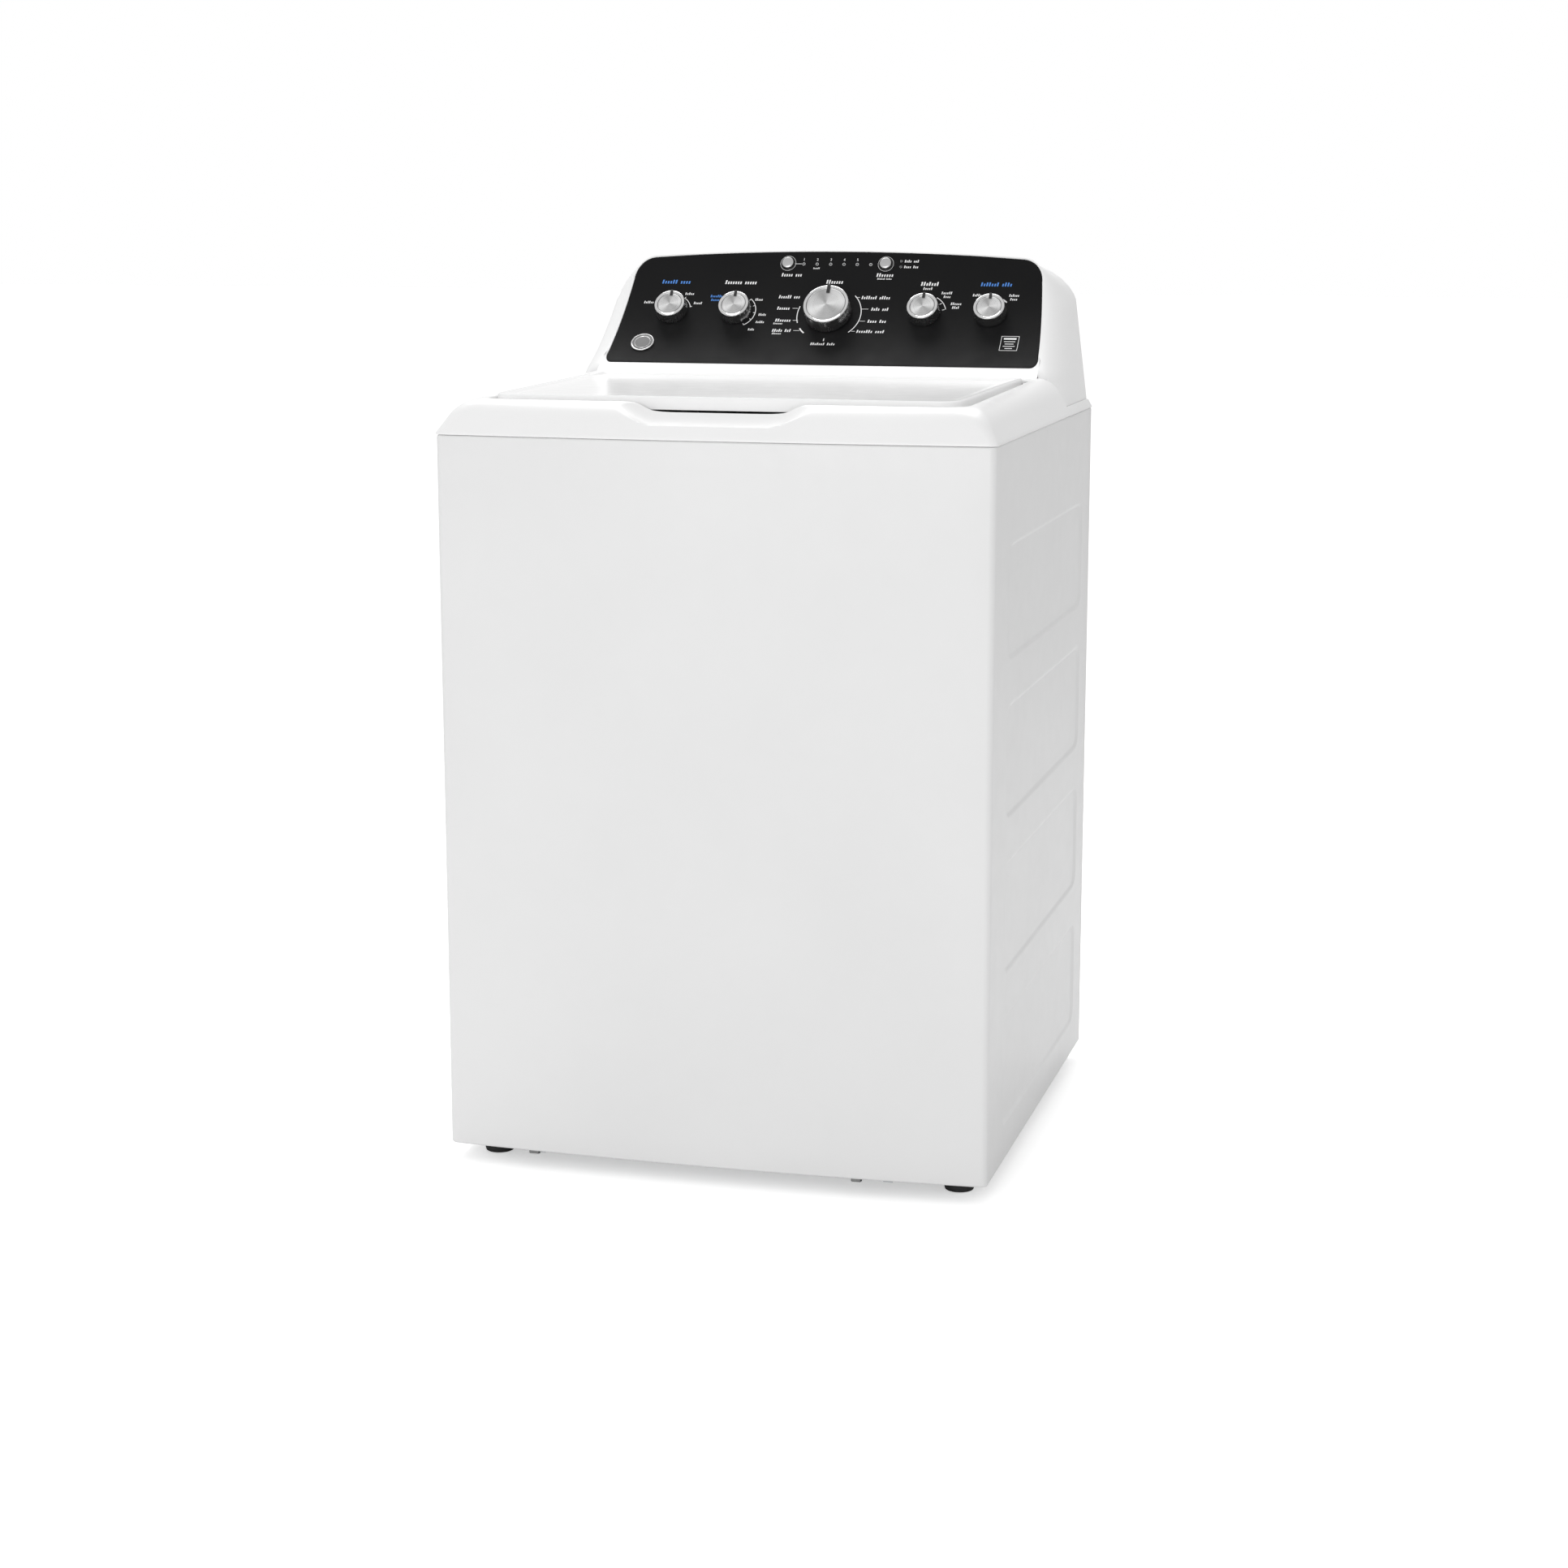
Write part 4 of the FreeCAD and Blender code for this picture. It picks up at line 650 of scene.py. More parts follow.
# ------------------------------------------------------------------ cabinet
@dataclass(frozen=True)
class Cabinet:
    """The folded steel wrap with its bowed front and pressed sides, and the feet below it."""

    half_x: float = 342.9
    front: float = -331.6
    back: float = 331.6
    bow: float = 12.5
    corner: float = 8.0
    foot_z: float = 22.0
    top_z: float = 909.2
    sheet: float = 1.2
    fold: float = 1.6
    emboss_tops: tuple[float, ...] = (788.0, 594.7, 401.4, 208.1)
    emboss_height: float = 140.0
    emboss_y: tuple[float, float] = (-241.0, 270.0)
    emboss_corner: float = 22.0
    emboss_depth: float = 2.5
    emboss_edge: float = 5.0
    tab_x: tuple[float, float] = (-232.0, 182.0)

    def bowed(self, x: Array) -> Array:
        """How far the front stands forward at x: the bow, less its square fall to the corners."""
        return self.bow * (1.0 - (x / self.half_x) ** 2)

    def plan(self) -> tuple[Array, Array]:
        """Open line round the three painted sides, with a flange at each rear edge.

        Returns:
            The points, and the outward normals along the line.
        """
        x, r = self.half_x, self.corner
        soft = np.linspace(-16, 16, 9)
        y = np.concatenate([np.linspace(self.back, self.front + r, 24), *(soft + e for e in self.emboss_y)])
        y = -np.sort(-y[(y >= self.front + r) & (y <= self.back)])
        turn = np.linspace(0, math.pi / 2, 10)
        corner = np.stack([x - r + r * np.cos(turn), self.front + r - r * np.sin(turn)], 1)
        across = np.linspace(x - r, 0, 14)[1:]
        flange = np.array([(x - 15.0, self.back), (x - 8.0, self.back), (x - self.fold, self.back),
                           (x - 0.5, self.back - 0.5)])
        y[0] -= self.fold
        half = np.concatenate([flange, np.stack([x + 0 * y, y], 1), corner[1:],
                               np.stack([across, self.front + 0 * across], 1)])
        bent = np.clip((self.front + 2 * r - half[:, 1]) / r, 0, 1)
        half[:, 1] -= self.bowed(half[:, 0]) * bent
        line = np.concatenate([half, half[-2::-1] * [-1, 1]])
        ahead = np.gradient(line, axis=0)
        normal = np.stack([-ahead[:, 1], ahead[:, 0]], 1)
        normal /= np.linalg.norm(normal, axis=1, keepdims=True)
        return line, normal * np.sign(normal[8, 0])

    def heights(self) -> tuple[Array, Array]:
        """Heights up the wrap with its folded hems, and how far each is drawn inwards.

        Returns:
            The heights, then the distance inwards at each of them.
        """
        soft = np.linspace(-7, 7, 9)
        edges = [top - drop + soft for top in self.emboss_tops for drop in (0.0, self.emboss_height)]
        corners = [top - drop + np.linspace(-8, 8, 5) for top in self.emboss_tops
                   for drop in (self.emboss_corner / 2, self.emboss_height - self.emboss_corner / 2)]
        plain = np.linspace(self.foot_z + 3, self.top_z - 3, 30)
        z = np.unique(np.round(np.concatenate([plain, *edges, *corners]), 2))
        turn = np.linspace(0, math.pi / 2, 5)[1:]
        rise, fold = 3 * (1 - np.sin(turn)), 3 * (1 - np.cos(turn))
        heights = [[self.foot_z], (self.foot_z + rise)[::-1], z, self.top_z - rise, [self.top_z]]
        draws = [[16.0], fold[::-1], 0 * z, fold, [16.0]]
        return np.concatenate(heights), np.concatenate(draws)

    def pressed(self, y: Array, z: Array) -> Array:
        """Depth of the side pressings: a round-cornered box distance eased over its edge.

        Args:
            y: place of each point along the side.
            z: height of each point.
        Returns:
            How far each place is pressed in, in millimetres.
        """
        middle, half = sum(self.emboss_y) / 2, (self.emboss_y[1] - self.emboss_y[0]) / 2
        depth = 0 * z
        for top in self.emboss_tops:
            dy = np.abs(y - middle) - (half - self.emboss_corner)
            dz = np.abs(z - top + self.emboss_height / 2) - (self.emboss_height / 2 - self.emboss_corner)
            outside = np.hypot(np.maximum(dy, 0), np.maximum(dz, 0)) - self.emboss_corner
            outside += np.minimum(np.maximum(dy, dz), 0)
            depth += self.emboss_depth * (1 - smooth_step(outside, -self.emboss_edge, 0.6))
        return depth

    def skin(self) -> Patch:
        """The wrap: its plan line raised through its heights, drawn in by hems and pressings.

        Returns:
            The surface.
        """
        line, normal = self.plan()
        z, draw = self.heights()
        y = line[None, :, 1] + 0 * z[:, None]
        side = np.abs(normal[None, :, 0]) > 0.999
        inward = draw[:, None] + np.where(side, self.pressed(y, z[:, None] + 0 * y), 0.0)
        xy = line[None] - normal[None] * inward[..., None]
        return grid_patch(np.dstack([xy, z[:, None] + 0 * y]))

    def foot(self, node: str) -> list[Patch]:
        """A levelling foot: round rubber pad, six-sided nut and threaded stud.

        Args:
            node: the CAD node whose place it takes.
        Returns:
            Its three surfaces. The thread is a fine wave up the stud.
        """
        low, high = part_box(node)
        x, y = 500 * (low.x + high.x), 500 * (low.y + high.y)
        place = Place((x, y, 0.0))
        pad = fillet([(0, 0, 0), (17.6, 0, 1.2), (18.5, 4, 2.0), (18.3, 8.5, 2.5), (14, 11, 2), (10, 14, 1),
                      (0, 14, 0)])
        turn = np.linspace(0, FULL_TURN, 36, endpoint=False)
        reach = 7.6 / np.cos((turn + math.pi / 6) % (math.pi / 3) - math.pi / 6)
        hexagon = np.stack([reach * np.cos(turn), reach * np.sin(turn)], 1)
        nut = plate(hexagon, [(0.6, 14.0), (0, 14.5), (0, 19.4), (0.7, 20.0)], place)
        climb = np.linspace(20.0, 56.0, 181)
        thread = np.column_stack([4.3 + 0.4 * np.cos(climb * FULL_TURN / 1.6), climb])
        stud = revolved(np.concatenate([[[0, 20.0]], thread, [[0, 57.0]]]), place, 24)
        return [revolved(pad, place, 48), nut, stud]

    def tabs(self) -> Patch:
        """Two bent steel tongues that hold the front panel to the frame, low at the front.

        Returns:
            Both tongues as one surface.
        """
        line = fillet([(0.0, 30.0, 0), (0.0, 17.0, 2.0), (9.0, 15.0, 2.0), (12.0, 19.0, 0)], 6)
        tongues = []
        for x in self.tab_x:
            across = x + np.array([-6.0, -5.2, 5.2, 6.0])
            ends = np.array([1.5, 0.0, 0.0, 1.5])
            y = self.front - self.bowed(np.array(x)) + 6.0 + line[:, :1] + 0 * across
            z = line[:, 1:] + 0 * across + ends * (line[:, 1:] < 17.5)
            tongue = grid_patch(np.stack([across + 0 * y, y, z], -1))
            tongues.append(tongue.outward([x, self.back, 10.0]))
        return joined(tongues)

    def build(self) -> None:
        """Makes the tabs, the wrap and the four feet."""
        MAKER.piece("front_tabs", self.tabs(), Finishes.steel_dark, wall=1.0)
        MAKER.piece("cabinet_skin", self.skin().outward([0, 0, 450]), Finishes.white_enamel, "cabinet",
                    replaces=("cabinet_wrap",), wall=self.sheet, crease=40)
        for node in ("front_left_foot", "front_right_foot", "rear_left_foot", "rear_right_foot"):
            pad, nut, stud = self.foot(node)
            MAKER.piece(f"{node}_pad", pad.outward(), Finishes.black_rubber, node, replaces=(node,))
            steel = joined([nut.outward(), stud.outward()])
            MAKER.piece(f"{node}_stud", steel, Finishes.steel_dark, node)


# ------------------------------------------------------------------ top cover and lid
@dataclass(frozen=True)
class RingSteps:
    """Where the points of a rounded rectangle's ring lie along its sides, as shares of each."""

    side: Array = field(default_factory=lambda: np.linspace(0, 1, 25))
    front: Array = field(default_factory=lambda: np.unique(np.concatenate(
        [np.linspace(0, 0.29, 9), np.linspace(0.29, 0.71, 105), np.linspace(0.71, 1, 9)])))
    rear: Array = field(default_factory=lambda: np.linspace(0, 1, 25))
    corner: Array = field(default_factory=lambda: np.linspace(0, 1, 10))

    def ring(self, half_x: float, front: float, back: float, r_front: float, r_back: float) -> Array:
        """A rounded rectangle, clockwise from above, from its right rear.

        Args:
            half_x: half its width.
            front: its front edge's y.
            back: its rear edge's y.
            r_front: radius of the front corners.
            r_back: radius of the rear corners.
        Returns:
            Points by 2. Rings of the same steps have matching points, so they loft cleanly.
        """
        low, high = front + r_front, back - r_back
        side = np.stack([half_x + 0 * self.side, high + (low - high) * self.side], 1)
        run, rear = half_x - r_front, half_x - r_back
        ahead = np.stack([run - 2 * run * self.front, front + 0 * self.front], 1)
        behind = np.stack([-rear + 2 * rear * self.rear, back + 0 * self.rear], 1)

        def corner(x: float, y: float, r: float, start: float) -> Array:
            """A quarter turn, clockwise from a start angle in degrees."""
            turn = np.radians(start - 90 * self.corner)
            return np.stack([x + r * np.cos(turn), y + r * np.sin(turn)], 1)

        return np.concatenate([side, corner(run, low, r_front, 0), ahead, corner(-run, low, r_front, -90),
                               side[::-1] * [-1, 1], corner(-rear, high, r_back, 180), behind,
                               corner(rear, high, r_back, 90)])


@dataclass(frozen=True)
class TopCover:
    """The moulded top: sloping shoulders, the lid's recess, the mouth and the hand notch."""

    cabinet: Cabinet = Cabinet()
    steps: RingSteps = field(default_factory=RingSteps)
    base_z: float = 909.5
    lip: float = 1.4
    lip_height: float = 2.0
    slope_in: float = 12.0
    slope_z: float = 933.5
    crest_z: float = 954.0
    crest_in: float = 48.4
    front_crest_z: float = 950.8
    rise: float = 0.0145
    deck_y: float = 157.3
    deck_z: float = 920.2
    ledge_x: float = 338.6
    tray: tuple[float, float, float] = (296.5, -291.0, 133.5)
    tray_corners: tuple[float, float] = (30.0, 12.0)
    tray_z: float = 936.0
    mouth: tuple[float, float, float] = (262.0, -262.0, 92.0)
    mouth_corners: tuple[float, float] = (70.0, 70.0)
    scoop_edge_z: float = 938.0
    scoop_depth: float = 16.3
    scoop_in: float = 24.0
    scoop_width: float = 29.0
    scoop_start: float = 82.0
    scoop_climb: float = 0.33
    scoop_half: float = 160.0
    scoop_reach: float = 12.0
    scoop_soft: float = 1.2

    def crest(self, y: Array) -> Array:
        """Height of the top's crest, which climbs a little to the rear."""
        return self.front_crest_z + self.rise * (y - self.tray[1])

    def notch(self, x: Array, y: Array) -> Array:
        """Height of the hand scoop: a shallow trough front to back that climbs at both ends.

        Args:
            x: places across.
            y: places from front to back.
        Returns:
            The trough's parabola, plus a soft ramp that starts some way from the middle.
        """
        inwards = y - (self.cabinet.front - self.cabinet.bowed(x))
        bend = ((inwards - self.scoop_in) / self.scoop_width) ** 2
        trough = self.scoop_edge_z - self.scoop_depth * (1.0 - bend)
        out = np.abs(x) - self.scoop_start
        return trough + self.scoop_climb * (out + np.sqrt(out * out + 120.0)) - 0.4

    def ring_at(self, outline: Array, z: Array) -> Array:
        """A ring in space, cut down by the hand scoop near the front.

        Args:
            outline: line of points by 2.
            z: height, one for all points or one for each.
        Returns:
            Points by 3.
        """
        x, y = outline[:, 0], outline[:, 1]
        near = (y < self.tray[1] + self.scoop_reach) & (np.abs(x) < self.scoop_half)
        z = z + 0 * x
        cut = soft_min(z, self.notch(x, y), self.scoop_soft)
        return np.column_stack([outline, np.where(near, cut, z)])

    def outer(self, out: float) -> Array:
        """The cover's outer line moved out, with the cabinet's bow in front.

        Args:
            out: distance outwards from the cabinet's side.
        Returns:
            Points by 2.
        """
        cab = self.cabinet
        line = self.steps.ring(cab.half_x + out, cab.front - out, self.deck_y, cab.corner + out, 0.0)
        bent = np.clip((cab.front + 30.0 - line[:, 1]) / 30.0, 0, 1)
        line[:, 1] -= cab.bowed(line[:, 0]) * bent
        return line

    def around(self, hollow: tuple[float, float, float], out: float, radii: tuple[float, float]) -> Array:
        """A hollow's line moved out."""
        half_x, front, back = hollow
        return self.steps.ring(half_x + out, front - out, back + out, radii[0] + out, radii[1] + out)

    def shoulder(self) -> list[tuple[float, float]]:
        """Inset and height up the shoulder: a straight slope, then an arc that ends level.

        Returns:
            Pairs of inset and height, from the lip up to the crest.
        """
        foot_z = self.base_z + self.lip_height
        slope = math.atan2(self.slope_z - foot_z, self.slope_in + self.lip)
        radius = (self.crest_in - self.slope_in) / math.sin(slope)
        turn = slope * (1 - np.linspace(0, 1, 26))
        arc_in = self.crest_in - radius * np.sin(turn)
        arc_z = self.crest_z - radius * (1 - np.cos(turn))
        straight = np.linspace(0, 1, 8)[:-1]
        line_in = -self.lip + straight * (self.slope_in + self.lip)
        line_z = foot_z + straight * (self.slope_z - foot_z)
        return list(zip(np.concatenate([line_in, arc_in]), np.concatenate([line_z, arc_z])))

    def front_rings(self) -> list[Array]:
        """Rings from under the lip, over the shoulder and down into the mouth.

        Returns:
            The rings, in order.
        """
        outside = self.outer(self.lip)
        tray_line = self.around(self.tray, 3.5, self.tray_corners)
        top_line = self.steps.ring(self.tray[0] + 3.5, self.tray[1] - 3.5, self.deck_y, 33.5, 0.0)
        under = [(-1.6, 2.4), (-1.6, 0.0), (self.lip - 0.7, 0.0), (self.lip, 0.7)]
        rings = [self.ring_at(self.outer(out), self.base_z + up) for out, up in under]
        rim = self.crest(top_line[:, 1])
        for inset, z in self.shoulder():
            line = outside + (top_line - outside) * (inset + self.lip) / (self.crest_in + self.lip)
            climb = (z - self.base_z) / (self.crest_z - self.base_z)
            rings.append(self.ring_at(line, self.base_z + climb * (rim - self.base_z)))
        edge = [(3.5, 0.0), (2.3, -0.25), (1.1, -1.0), (0.3, -2.2), (0.0, -3.6)]
        rim = self.crest(tray_line[:, 1])
        rings += [self.ring_at(self.around(self.tray, out, self.tray_corners), rim + drop)
                  for out, drop in edge]
        floor = [(-0.6, 4.6), (-1.0, 2.6), (-2.0, 1.0), (-3.6, 0.2), (-5.5, 0.0)]
        mouth = [(9.0, 0.0), (6.0, -0.3), (3.4, -1.3), (1.4, -3.2), (0.3, -5.8), (0.0, -9.0)]
        hollows = [(self.tray, self.tray_corners, floor), (self.mouth, self.mouth_corners, mouth)]
        return rings + [self.ring_at(self.around(hollow, out, corners), self.tray_z + z)
                        for hollow, corners, steps in hollows for out, z in steps]

    def deck_rings(self) -> list[Array]:
        """Rings of the low deck behind, which carries the console.

        Returns:
            The rings, in order from the outer edge.
        """
        cab = self.cabinet
        lines = [(cab.half_x + self.lip, self.base_z), (cab.half_x + self.lip, self.base_z + 0.6),
                 (self.ledge_x + 0.6, self.deck_z - 0.6), (self.ledge_x - 0.8, self.deck_z),
                 (300.0, self.deck_z), (240.0, self.deck_z)]
        rings = []
        for half_x, z in lines:
            line = self.steps.ring(half_x, self.deck_y - 0.2, cab.back, 0.0, 4.0)
            rings.append(np.column_stack([line, z + 0 * line[:, 0]]))
        return rings

    def build(self) -> None:
        """Makes the cover."""
        top = loft(self.front_rings()).outward([0, -80, 900])
        deck = loft(self.deck_rings()).outward([0, 240, 905])
        MAKER.piece("top_cover_shell", joined([top, deck]), Finishes.white_plastic,
                    replaces=("top_cover",), wall=1.6, crease=38)


@dataclass(frozen=True)
class Lid:
    """The enamelled lid: a thin raised rim round a hollow top, and a straight skirt."""

    steps: RingSteps = field(default_factory=RingSteps)
    half_x: float = 287.0
    front: float = -284.0
    back: float = 130.0
    radii: tuple[float, float] = (26.0, 12.0)
    skirt_z: float = 940.6
    rim_front_z: float = 956.4
    rim_back_z: float = 959.6
    dish: float = 6.0

    def rim_height(self, y: Array) -> Array:
        """Height of the rim, which climbs evenly from front to back."""
        share = (y - self.front) / (self.back - self.front)
        return self.rim_front_z + (self.rim_back_z - self.rim_front_z) * share

    def line(self, inset: float) -> Array:
        """The lid's outline moved inwards, with round corners that grow slowly."""
        front, back = (max(r - 0.55 * inset, 2.0) for r in self.radii)
        return self.steps.ring(self.half_x - inset, self.front + inset, self.back - inset, front, back)

    def skin(self) -> Patch:
        """Rings over skirt and rim, then rings that shrink to the middle of the hollow top.

        Returns:
            The surface. The hollow falls by a curve over its outer strip, and then by the
            product of two parabolas, one across and one from front to back.
        """
        edge = [(1.2, 0.0), (0.3, 0.3), (0.0, 1.2)]
        rings = []
        for inset, up in edge:
            line = self.line(inset)
            rings.append(np.column_stack([line, self.skirt_z + up + 0 * line[:, 0]]))
        turn = np.linspace(0, math.pi / 2, 7)
        rim = [(3.0 * (1 - math.cos(a)), 3.0 * math.sin(a) - 3.0) for a in turn]
        rim += [(5.0, 0.05), (7.0, -0.1), (8.6, -0.7), (10.2, -1.8), (12.0, -2.7), (14.5, -3.2)]
        for inset, drop in rim:
            line = self.line(inset)
            rings.append(np.column_stack([line, self.rim_height(line[:, 1]) + drop]))
        inner = self.line(14.5)
        middle = np.array([0.0, 0.5 * (self.front + self.back)])
        reach = np.abs(inner - middle).max(0)
        for share in np.concatenate([np.linspace(0.97, 0.4, 20), np.linspace(0.3, 0.0, 5)]):
            line = middle + (inner - middle) * share
            hollow = np.prod(1 - ((line - middle) / reach) ** 2, axis=1)
            sag = 3.2 + (self.dish - 3.2) * hollow
            rings.append(np.column_stack([line, self.rim_height(line[:, 1]) - sag]))
        return loft(rings)

    def rounded_back(self, patch: Patch) -> Patch:
        """Draws the rear edge in to a round about the hinge line, so that it clears as it turns.

        Args:
            patch: the surface.
        Returns:
            The surface with its rear edge drawn in.
        """
        low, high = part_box("lid_hinge_pins")
        hinge_y, hinge_z = 500 * (low.y + high.y), 500 * (low.z + high.z)
        reach = self.back - hinge_y
        behind, up = patch.points[:, 1] - hinge_y, patch.points[:, 2] - hinge_z
        radius = np.hypot(behind, up)
        squeeze = np.where((behind > 0) & (radius > reach), reach / np.maximum(radius, 1e-6), 1.0)
        points = patch.points.copy()
        points[:, 1] = hinge_y + behind * squeeze
        points[:, 2] = hinge_z + up * squeeze
        return Patch(points, patch.quads, patch.uv)

    def build(self) -> None:
        """Makes the lid's skin."""
        skin = self.rounded_back(self.skin()).outward([0, -80, 942])
        MAKER.piece("lid_skin", skin, Finishes.lid_enamel, "lid", replaces=("lid_panel",), wall=1.2,
                    crease=45)


# ------------------------------------------------------------------ console
@dataclass(frozen=True)
class ControlFace:
    """The hollow control face: part of a cylinder that lies across the machine."""

    centre_y: float = -22.6
    centre_z: float = 1250.7
    radius: float = 341.2
    zero_z: float = 1032.7

    def y(self, z: Array, depth: float = 0.0) -> Array:
        """Where the face, or a layer behind it, is at a height."""
        return self.centre_y + np.sqrt((self.radius + depth) ** 2 - (self.centre_z - z) ** 2)

    def tilt(self, up: Array) -> Array:
        """Angle of the face's normal above the level, at a distance up the face from its zero."""
        return math.asin((self.centre_z - self.zero_z) / self.radius) - up / self.radius

    def up_of(self, z: float) -> float:
        """Distance up the face from its zero to a height."""
        zero = math.asin((self.centre_z - self.zero_z) / self.radius)
        return self.radius * (zero - math.asin((self.centre_z - z) / self.radius))

    def wrap(self, flat: Array, lift: float) -> Array:
        """Flat points, across and up the face, laid on it with a lift off it.

        Args:
            flat: points by 2.
            lift: distance off the face, in millimetres.
        Returns:
            Points by 3.
        """
        tilt, reach = self.tilt(flat[:, 1]), self.radius - lift
        return np.stack([flat[:, 0], self.centre_y + reach * np.cos(tilt),
                         self.centre_z - reach * np.sin(tilt)], 1)

    def place(self, x: float, up: float, lift: float = 0.0) -> Place:
        """A frame on the face: right is X, ahead runs up the face and out leaves it.

        Args:
            x: place across.
            up: place up the face.
            lift: distance off the face.
        Returns:
            The frame.
        """
        tilt = float(self.tilt(np.array(up)))
        origin = self.wrap(np.array([[x, up]]), lift)[0]
        return Place(tuple(origin), (1, 0, 0), (0, math.sin(tilt), math.cos(tilt)),
                     (0, -math.cos(tilt), math.sin(tilt)))


FACE = ControlFace()
SMALL_X = (-220.5, -130.3, 130.3, 220.5)
SMALL_UP = 3.2
BUTTON_X = (-68.0, 68.0)
BUTTON_UP = 79.0


@dataclass(frozen=True)
class Console:
    """The white console body round the black control face."""

    foot_z: float = 920.6
    front_z: float = 957.2
    deck_y: float = 157.5
    back: float = 331.4
    top_z: float = 1116.2
    flank_foot: float = 336.0
    flank_lean: float = 0.127
    blend_x: float = 36.0
    blend_y: float = 77.0
    fascia_gap: float = 0.35
    frame: float = 2.2
    corner_z: float = 981.0
    side_x: float = 250.0
    side_top_z: float = 1074.0
    side_slope: float = 0.16
    turn_x: float = 284.0
    sweep_top_z: float = 960.0
    sweep: tuple[tuple[float, float], ...] = ((900.0, 20.0), (922.0, 80.0), (930.0, 116.0), (949.0, 146.0))

    def fascia_line(self, grow: float = 0.0) -> Array:
        """Closed outline of the black face, across and height, from its bottom right corner.

        Args:
            grow: how far the outline is moved out.
        Returns:
            Points by 2: round lower corners, leaning sides, wide shoulders and an arched top.
        """
        low = fillet([(200.0, 969.3, 0), (297.2, 969.3, 8.5), (294.15, 984.0, 0)], 8)[1:-1]
        side_z = np.linspace(984.0, 1072.0, 16)
        side_x = 294.15 - 10.4 * ((side_z - 984.0) / 88.0) ** 1.05
        turn = np.linspace(0.0, 1.44, 16)
        shoulder = np.stack([253.0 + 30.2 * np.cos(turn), 1076.0 + 30.2 * np.sin(turn)], 1)
        start = shoulder[-1]
        x = np.linspace(start[0], 0, 26)[1:]
        arch = np.stack([x, 1114.0 - (1114.0 - start[1]) * (x / start[0]) ** 2], 1)
        right = np.concatenate([low, np.stack([side_x, side_z], 1), shoulder, arch])
        bottom = np.linspace(-low[0, 0], low[0, 0], 34)[1:-1]
        line = np.concatenate([right, right[-2::-1] * [-1, 1], np.stack([bottom, 969.3 + 0 * bottom], 1)])
        return inset_line(line, -grow)

    def flank_x(self, z: Array) -> Array:
        """Half the console's width at a height, up to the shoulder."""
        return self.flank_foot - self.flank_lean * (z - self.foot_z)

    def frame_x(self, z: Array) -> Array:
        """Half the width of the white frame at a height: the face's outline, run on down below it.

        Args:
            z: the heights.
        Returns:
            Half the width at each of them.
        """
        line = self.fascia_line(self.frame)
        x, up = line[:, 0], line[:, 1]
        side = line[(x > self.side_x) & (up > self.corner_z) & (up < self.side_top_z)]
        low_x, low_z = side[0]
        below = low_x + self.side_slope * (low_z - z)
        return np.where(z > low_z, np.interp(z, side[:, 1], side[:, 0]), below)

    def edge_pairs(self) -> tuple[Array, Array]:
        """Matching points of the front edge and the rear outline, from the right foot to the top.

        Returns:
            Front edge points by 3 and rear outline points by 2, for the right half.
        """
        z = np.concatenate([np.linspace(self.foot_z, self.front_z, 14),
                            np.linspace(self.front_z, 1048.0, 18)[1:]])
        rear_side = np.stack([self.flank_x(z), z], 1)
        front_x = self.frame_x(z)
        front_y = np.where(z < 960.0, self.sweep_y(z), FACE.y(np.maximum(z, 960.0)))
        front_side = np.stack([front_x, front_y, z], 1)
        outline = self.fascia_line(self.frame)
        shoulder = outline[(outline[:, 0] > 0.5) & (outline[:, 1] > 1060.0)]
        shoulder = shoulder[np.argsort(-shoulder[:, 0] + 0.01 * shoulder[:, 1])]
        shoulder = np.concatenate([shoulder, [[0.0, self.top_z - 0.1]]])
        front_top = np.column_stack([shoulder, FACE.y(shoulder[:, 1])])[:, [0, 2, 1]]
        way = np.concatenate([[0.0], np.cumsum(np.hypot(*np.diff(shoulder, axis=0).T))])
        way = way / way[-1]
        knots_x = np.array([319.2, 316.6, 309.5, 299.0, 285.0, 262.0, 200.0, 100.0, 0.0])
        knots_z = np.array([1052.5, 1059.0, 1069.5, 1080.0, 1089.5, 1099.5, 1109.3, 1114.6, self.top_z])
        knots = np.concatenate([[0.0], np.cumsum(np.hypot(np.diff(knots_x), np.diff(knots_z)))])
        spaced = way * knots[-1]
        rear_top = np.stack([np.interp(spaced, knots, knots_x), np.interp(spaced, knots, knots_z)], 1)
        return np.concatenate([front_side, front_top]), np.concatenate([rear_side, rear_top])

    def sweep_y(self, z: Array) -> Array:
        """Where the front would be below the control face, as it sweeps down onto the deck.

        Args:
            z: the heights.
        Returns:
            The place in Y at each of them.
        """
        top = (self.sweep_top_z, float(FACE.y(np.array(self.sweep_top_z))))
        heights, depths = zip(*self.sweep, top)
        return np.interp(z, heights, depths)

